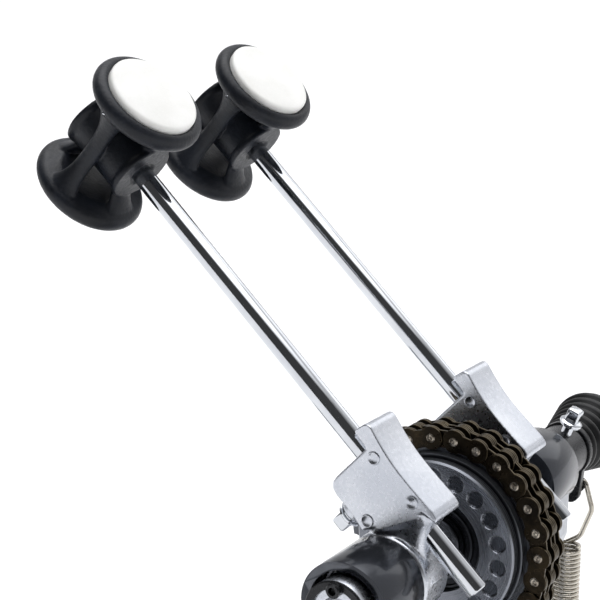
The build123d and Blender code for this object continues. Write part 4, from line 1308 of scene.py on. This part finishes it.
# ---------------------------------------------------------------- studio
@dataclass
class Studio:
    """Pale floor, soft surround and camera."""

    layout: Layout
    lens: float = 91.68
    offset: tuple[float, float, float] = (0.4549, 0.2399, 0.2223)
    yaw_deg: float = 58.362
    pitch_deg: float = 13.342

    def surround(self) -> None:
        """Soft light from above and behind, dim towards the right, as between two soft boxes."""
        world = bpy.data.worlds.new("studio_surround")
        bpy.context.scene.world = world
        world.use_nodes = True
        tree = world.node_tree
        way = add_node(tree, "ShaderNodeTexCoord").outputs["Generated"]
        split = add_node(tree, "ShaderNodeSeparateXYZ", None, {0: way}).outputs
        top = add_node(tree, "ShaderNodeMapRange", {"in:1": 0.78, "in:2": 0.9, "in:3": 0.0, "in:4": 2.7},
                       {0: split[2]}).outputs[0]
        left = add_node(tree, "ShaderNodeMapRange", {"in:1": 0.25, "in:2": -0.35, "in:3": 0.06, "in:4": 0.75},
                        {0: split[0]}).outputs[0]
        total = add_node(tree, "ShaderNodeMath", {"operation": "ADD"}, {0: top, 1: left}).outputs[0]
        tree.links.new(total, tree.nodes["Background"].inputs["Strength"])
        tree.nodes["Background"].inputs["Color"].default_value = linear("#fdfdff")

    def floor(self) -> None:
        """Wide matt floor under the pedal."""
        bm = bmesh.new()
        size = 60.0
        bm.faces.new([bm.verts.new((x * size, y * size, 0.0)) for x, y in ((-1, -1), (1, -1), (1, 1), (-1, 1))])
        floor = to_object("studio_floor", bm)
        paper = Finish("matt_paper_floor", "#fbfbfb", "#fafafa", 0.0, (0.8, 0.9), 2.0, 0.0)
        floor.data.materials.append(paper.material())

    def lamps(self) -> None:
        """Large soft box overhead and a long one at the back left."""
        for name, spot, size, power in (("overhead_box", Vector((-0.6, -0.2, 2.4)), 2.4, 9.0),
                                        ("left_box", Vector((-2.2, 0.6, 1.5)), 1.4, 5.0)):
            light = bpy.data.lights.new(name, "AREA")
            light.size = size
            light.energy = power
            lamp = bpy.data.objects.new(name, light)
            bpy.context.scene.collection.objects.link(lamp)
            lamp.location = spot
            lamp.rotation_euler = (self.layout.axle - spot).to_track_quat("-Z", "Y").to_euler()

    def camera(self) -> None:
        """Camera at the solved place, looking down past the axle."""
        data = bpy.data.cameras.new("studio_camera")
        data.lens = self.lens
        data.sensor_width = 36.0
        data.clip_end = 200.0
        camera = bpy.data.objects.new("studio_camera", data)
        bpy.context.scene.collection.objects.link(camera)
        spot = self.layout.axle.copy()
        spot.x = centre_of("near_rod").x
        camera.location = spot + Vector(self.offset)
        yaw, pitch = math.radians(self.yaw_deg), math.radians(self.pitch_deg)
        way = Vector((-math.sin(yaw) * math.cos(pitch), -math.cos(yaw) * math.cos(pitch), -math.sin(pitch)))
        camera.rotation_euler = way.to_track_quat("-Z", "Y").to_euler()
        bpy.context.scene.camera = camera

    def build(self) -> None:
        """Sets up floor, light and camera."""
        bpy.context.scene.view_settings.view_transform = "Standard"
        self.surround()
        self.floor()
        self.lamps()
        self.camera()


# ---------------------------------------------------------------- whole pedal
@dataclass
class Pedal:
    """Everything on the frame, sub-assembly by sub-assembly."""

    frame: dict[str, Any]
    layout: Layout

    def beaters(self) -> None:
        """Heads, rods and hubs of both beaters."""
        joints = {joint["name"]: joint for joint in self.frame["joints"]}
        for side, body in (("near", "primary_axle"), ("far", "slave_axle")):
            BeaterHead(side, Vector(joints[f"{side}_head_turn"]["pos_m"]), self.layout).build()
            BeaterRod(side, self.layout).build()
            BeaterHub(side, body, self.layout).build()

    def drive(self) -> None:
        """Sprocket, chain, springs, collar and joint cover."""
        wheel = Sprocket(self.layout)
        wheel.build()
        RollerChain(self.layout, wheel).build()
        for side in ("near", "far"):
            Spring(side).build()
            TensionNuts(side).build()
        DriveEnd(self.layout).build()

    def castings(self) -> None:
        """Posts, base, board and clamp, with eased edges."""
        sleeve = (ENAMEL, self.layout.axle, 0.0174)
        for node in ("near_post", "far_post"):
            Casting(node, "frame", "housing_grey", POST_CAST, 0.6).build(sleeve)
        for node, body, slot, finish, edge in (
                ("base_plate", "frame", "base_steel", POWDER, 0.4),
                ("base_rubber", "frame", "rubber", RUBBER, 0.4),
                ("cross_beam", "frame", "cast_frame", BLASTED, 0.8),
                ("beam_feet", "frame", "rubber", RUBBER, 0.4),
                ("heel_plate", "frame", "board_cast", BLASTED, 0.7),
                ("footboard", "footboard", "board_cast", BLASTED, 0.5),
                ("toe_bracket", "footboard", "black_oxide", OXIDE, 0.4),
                ("clamp_jaw", "clamp_jaw", "cast_frame", BLASTED, 0.7),
                ("clamp_pad", "frame", "rubber", RUBBER, 0.3),
                ("clamp_screw", "clamp_screw", "bright_chrome", CHROME, 0.4),
                ("near_rocker", "primary_axle", "polished_cast", CAST, 0.4),
                ("far_rocker", "slave_axle", "black_oxide", OXIDE, 0.4),
                ("outer_yoke", "outer_yoke", "cast_frame", BLASTED, 0.4),
                ("inner_yoke", "slave_axle", "ground_steel", GROUND, 0.3),
                ("joint_cross", "joint_cross", "ground_steel", GROUND, 0.3)):
            Casting(node, body, slot, finish, edge).build()
        SocketScrews().build(self.layout)

    def kept_nodes(self) -> None:
        """Dresses the CAD nodes that stay as they are."""
        looks = {"ground_steel": GROUND, "black_oxide": OXIDE, "spring_nickel": NICKEL, "bright_chrome": CHROME,
                 "sintered_bronze": BRONZE, "rubber": RUBBER, "board_cast": BLASTED, "base_steel": POWDER,
                 "cast_frame": BLASTED, "housing_grey": ENAMEL, "polished_cast": CAST}
        slots = {part["node"]: part["material_slot"] for part in self.frame["record"]["subparts"]}
        for name, node in self.frame["nodes"].items():
            if node.hide_render:
                continue
            finish = looks.get(slots[name], GROUND)
            for holder in node.material_slots:
                holder.link = "OBJECT"
                holder.material = finish.material()
            if not node.material_slots:
                node.data.materials.append(finish.material())
            LOG.info("%s kept in %s", name, finish.name)


def main() -> None:
    """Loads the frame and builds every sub-assembly."""
    logging.basicConfig(level=logging.INFO, format="%(message)s")
    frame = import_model()
    layout = Layout.read(frame["joints"])
    pedal = Pedal(frame, layout)
    pedal.beaters()
    pedal.drive()
    pedal.castings()
    pedal.kept_nodes()
    Studio(layout).build()
    bpy.context.view_layer.update()


if __name__ == "__main__":
    main()
